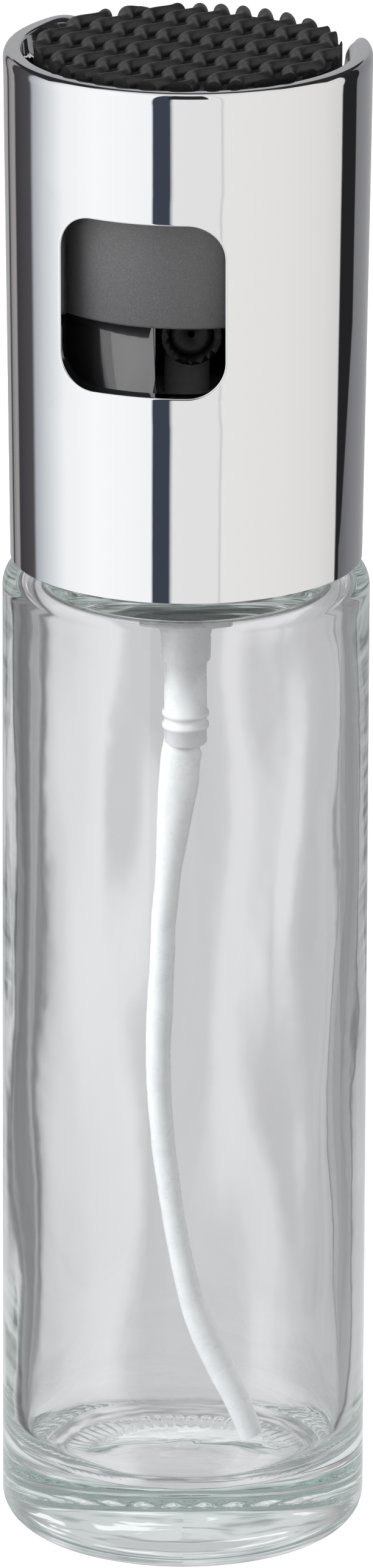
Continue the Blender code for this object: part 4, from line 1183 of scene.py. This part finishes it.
def build_floor():
    material = bpy.data.materials.new("pale_floor")
    material.use_nodes = True
    tree = Tree(material.node_tree)
    place = tree.place()
    distance = tree.add("ShaderNodeVectorMath", {"operation": "LENGTH"}, {0: place}).out("Value")
    rays = tree.add("ShaderNodeLightPath")
    bands = studio_seen(tree, studio_turn(tree, place), rays, distance)
    mirrored = tree.mix(tree.range(distance, PALE_RADIUS, BANDS_RADIUS), rgba(0.78, 0.79, 0.79), bands)
    mirrored = tree.mix(rays.out("Is Transmission Ray"), mirrored, backdrop_seen(tree, place))
    # Painted shade under the bottle's edge: dark streaks on what mirrors and glass see of the floor
    painted_streak = tree.range(tree.streaks(place, distance, UNDER_BASE_SHADE_STREAKS), 0.40, 0.60, 1.0, 0.0)
    shade_under_base = tree.between(distance, UNDER_BASE_SHADE_START, UNDER_BASE_SHADE_END)
    mirrored = tree.mix(shade_under_base * painted_streak * UNDER_BASE_SHADE_SHARE, mirrored, rgba(0.16, 0.175, 0.19))
    lit = tree.add("ShaderNodeBsdfDiffuse", {}, {"Color": rgba(0.34, 0.34, 0.34)})
    seen = tree.add("ShaderNodeAddShader", {}, {0: lit, 1: tree.emission(rgba(0.74, 0.74, 0.74))})
    bounce = tree.add("ShaderNodeBsdfDiffuse", {}, {"Color": rgba(0.8, 0.8, 0.8)})
    unseen = tree.shaders(bounced(rays), bounce, tree.emission(mirrored))
    shader = tree.shaders(rays.out("Is Camera Ray"), unseen, seen)
    tree.add("ShaderNodeOutputMaterial", {}, {"Surface": shader})
    bm = bmesh.new()
    bmesh.ops.create_circle(bm, cap_ends=True, segments=96, radius=FLOOR_RADIUS * MM)
    mesh = bpy.data.meshes.new("floor")
    bm.to_mesh(mesh)
    bm.free()
    mesh.materials.append(material)
    floor = bpy.data.objects.new("floor", mesh)
    bpy.context.scene.collection.objects.link(floor)


def aim(item, target):
    direction = (target - item.location).normalized()
    item.rotation_euler = direction.to_track_quat("-Z", "Y").to_euler()


def from_camera_side(azimuth, elevation, distance):
    """A place round the object, given from the camera's side."""
    a = math.radians(azimuth + CAMERA_AZIMUTH)
    e = math.radians(elevation)
    return Vector((math.sin(a) * math.cos(e), -math.cos(a) * math.cos(e), math.sin(e))) * distance * MM


def soft_light(name, azimuth, elevation, distance, width, height, power):
    light = bpy.data.lights.new(name, "AREA")
    light.shape = "RECTANGLE"
    light.size = width * MM
    light.size_y = height * MM
    light.energy = power
    lamp = bpy.data.objects.new(name, light)
    middle = Vector((0.0, 0.0, TARGET_HEIGHT * MM))
    lamp.location = middle + from_camera_side(azimuth, elevation, distance)
    aim(lamp, middle)
    lamp.visible_glossy = False
    lamp.visible_transmission = False
    bpy.context.scene.collection.objects.link(lamp)


def build_camera():
    data = bpy.data.cameras.new("camera")
    data.sensor_width = SENSOR
    data.lens = FOCAL_PIXELS * SENSOR / IMAGE_HEIGHT
    data.shift_x = (IMAGE_WIDTH / 2 - AXIS_PIXEL) / IMAGE_HEIGHT
    data.clip_start = 0.05
    data.clip_end = 50.0
    camera = bpy.data.objects.new("camera", data)
    target = Vector((0.0, 0.0, TARGET_HEIGHT * MM))
    back = from_camera_side(0.0, CAMERA_ELEVATION, CAMERA_DISTANCE)
    camera.location = target + back
    look = (-back).to_track_quat("-Z", "Y").to_matrix().to_4x4()
    roll = Matrix.Rotation(math.radians(CAMERA_ROLL), 4, "Z")
    camera.matrix_world = Matrix.Translation(camera.location) @ look @ roll
    bpy.context.scene.collection.objects.link(camera)
    bpy.context.scene.camera = camera


build_world()
build_floor()
soft_light("left_softbox", -68.0, 34.0, 900.0, 520.0, 700.0, 14.0)
soft_light("right_softbox", 62.0, 30.0, 1000.0, 460.0, 700.0, 2.0)
soft_light("top_softbox", 150.0, 62.0, 800.0, 420.0, 420.0, 6.0)
build_camera()
bpy.context.scene.view_settings.view_transform = "Standard"
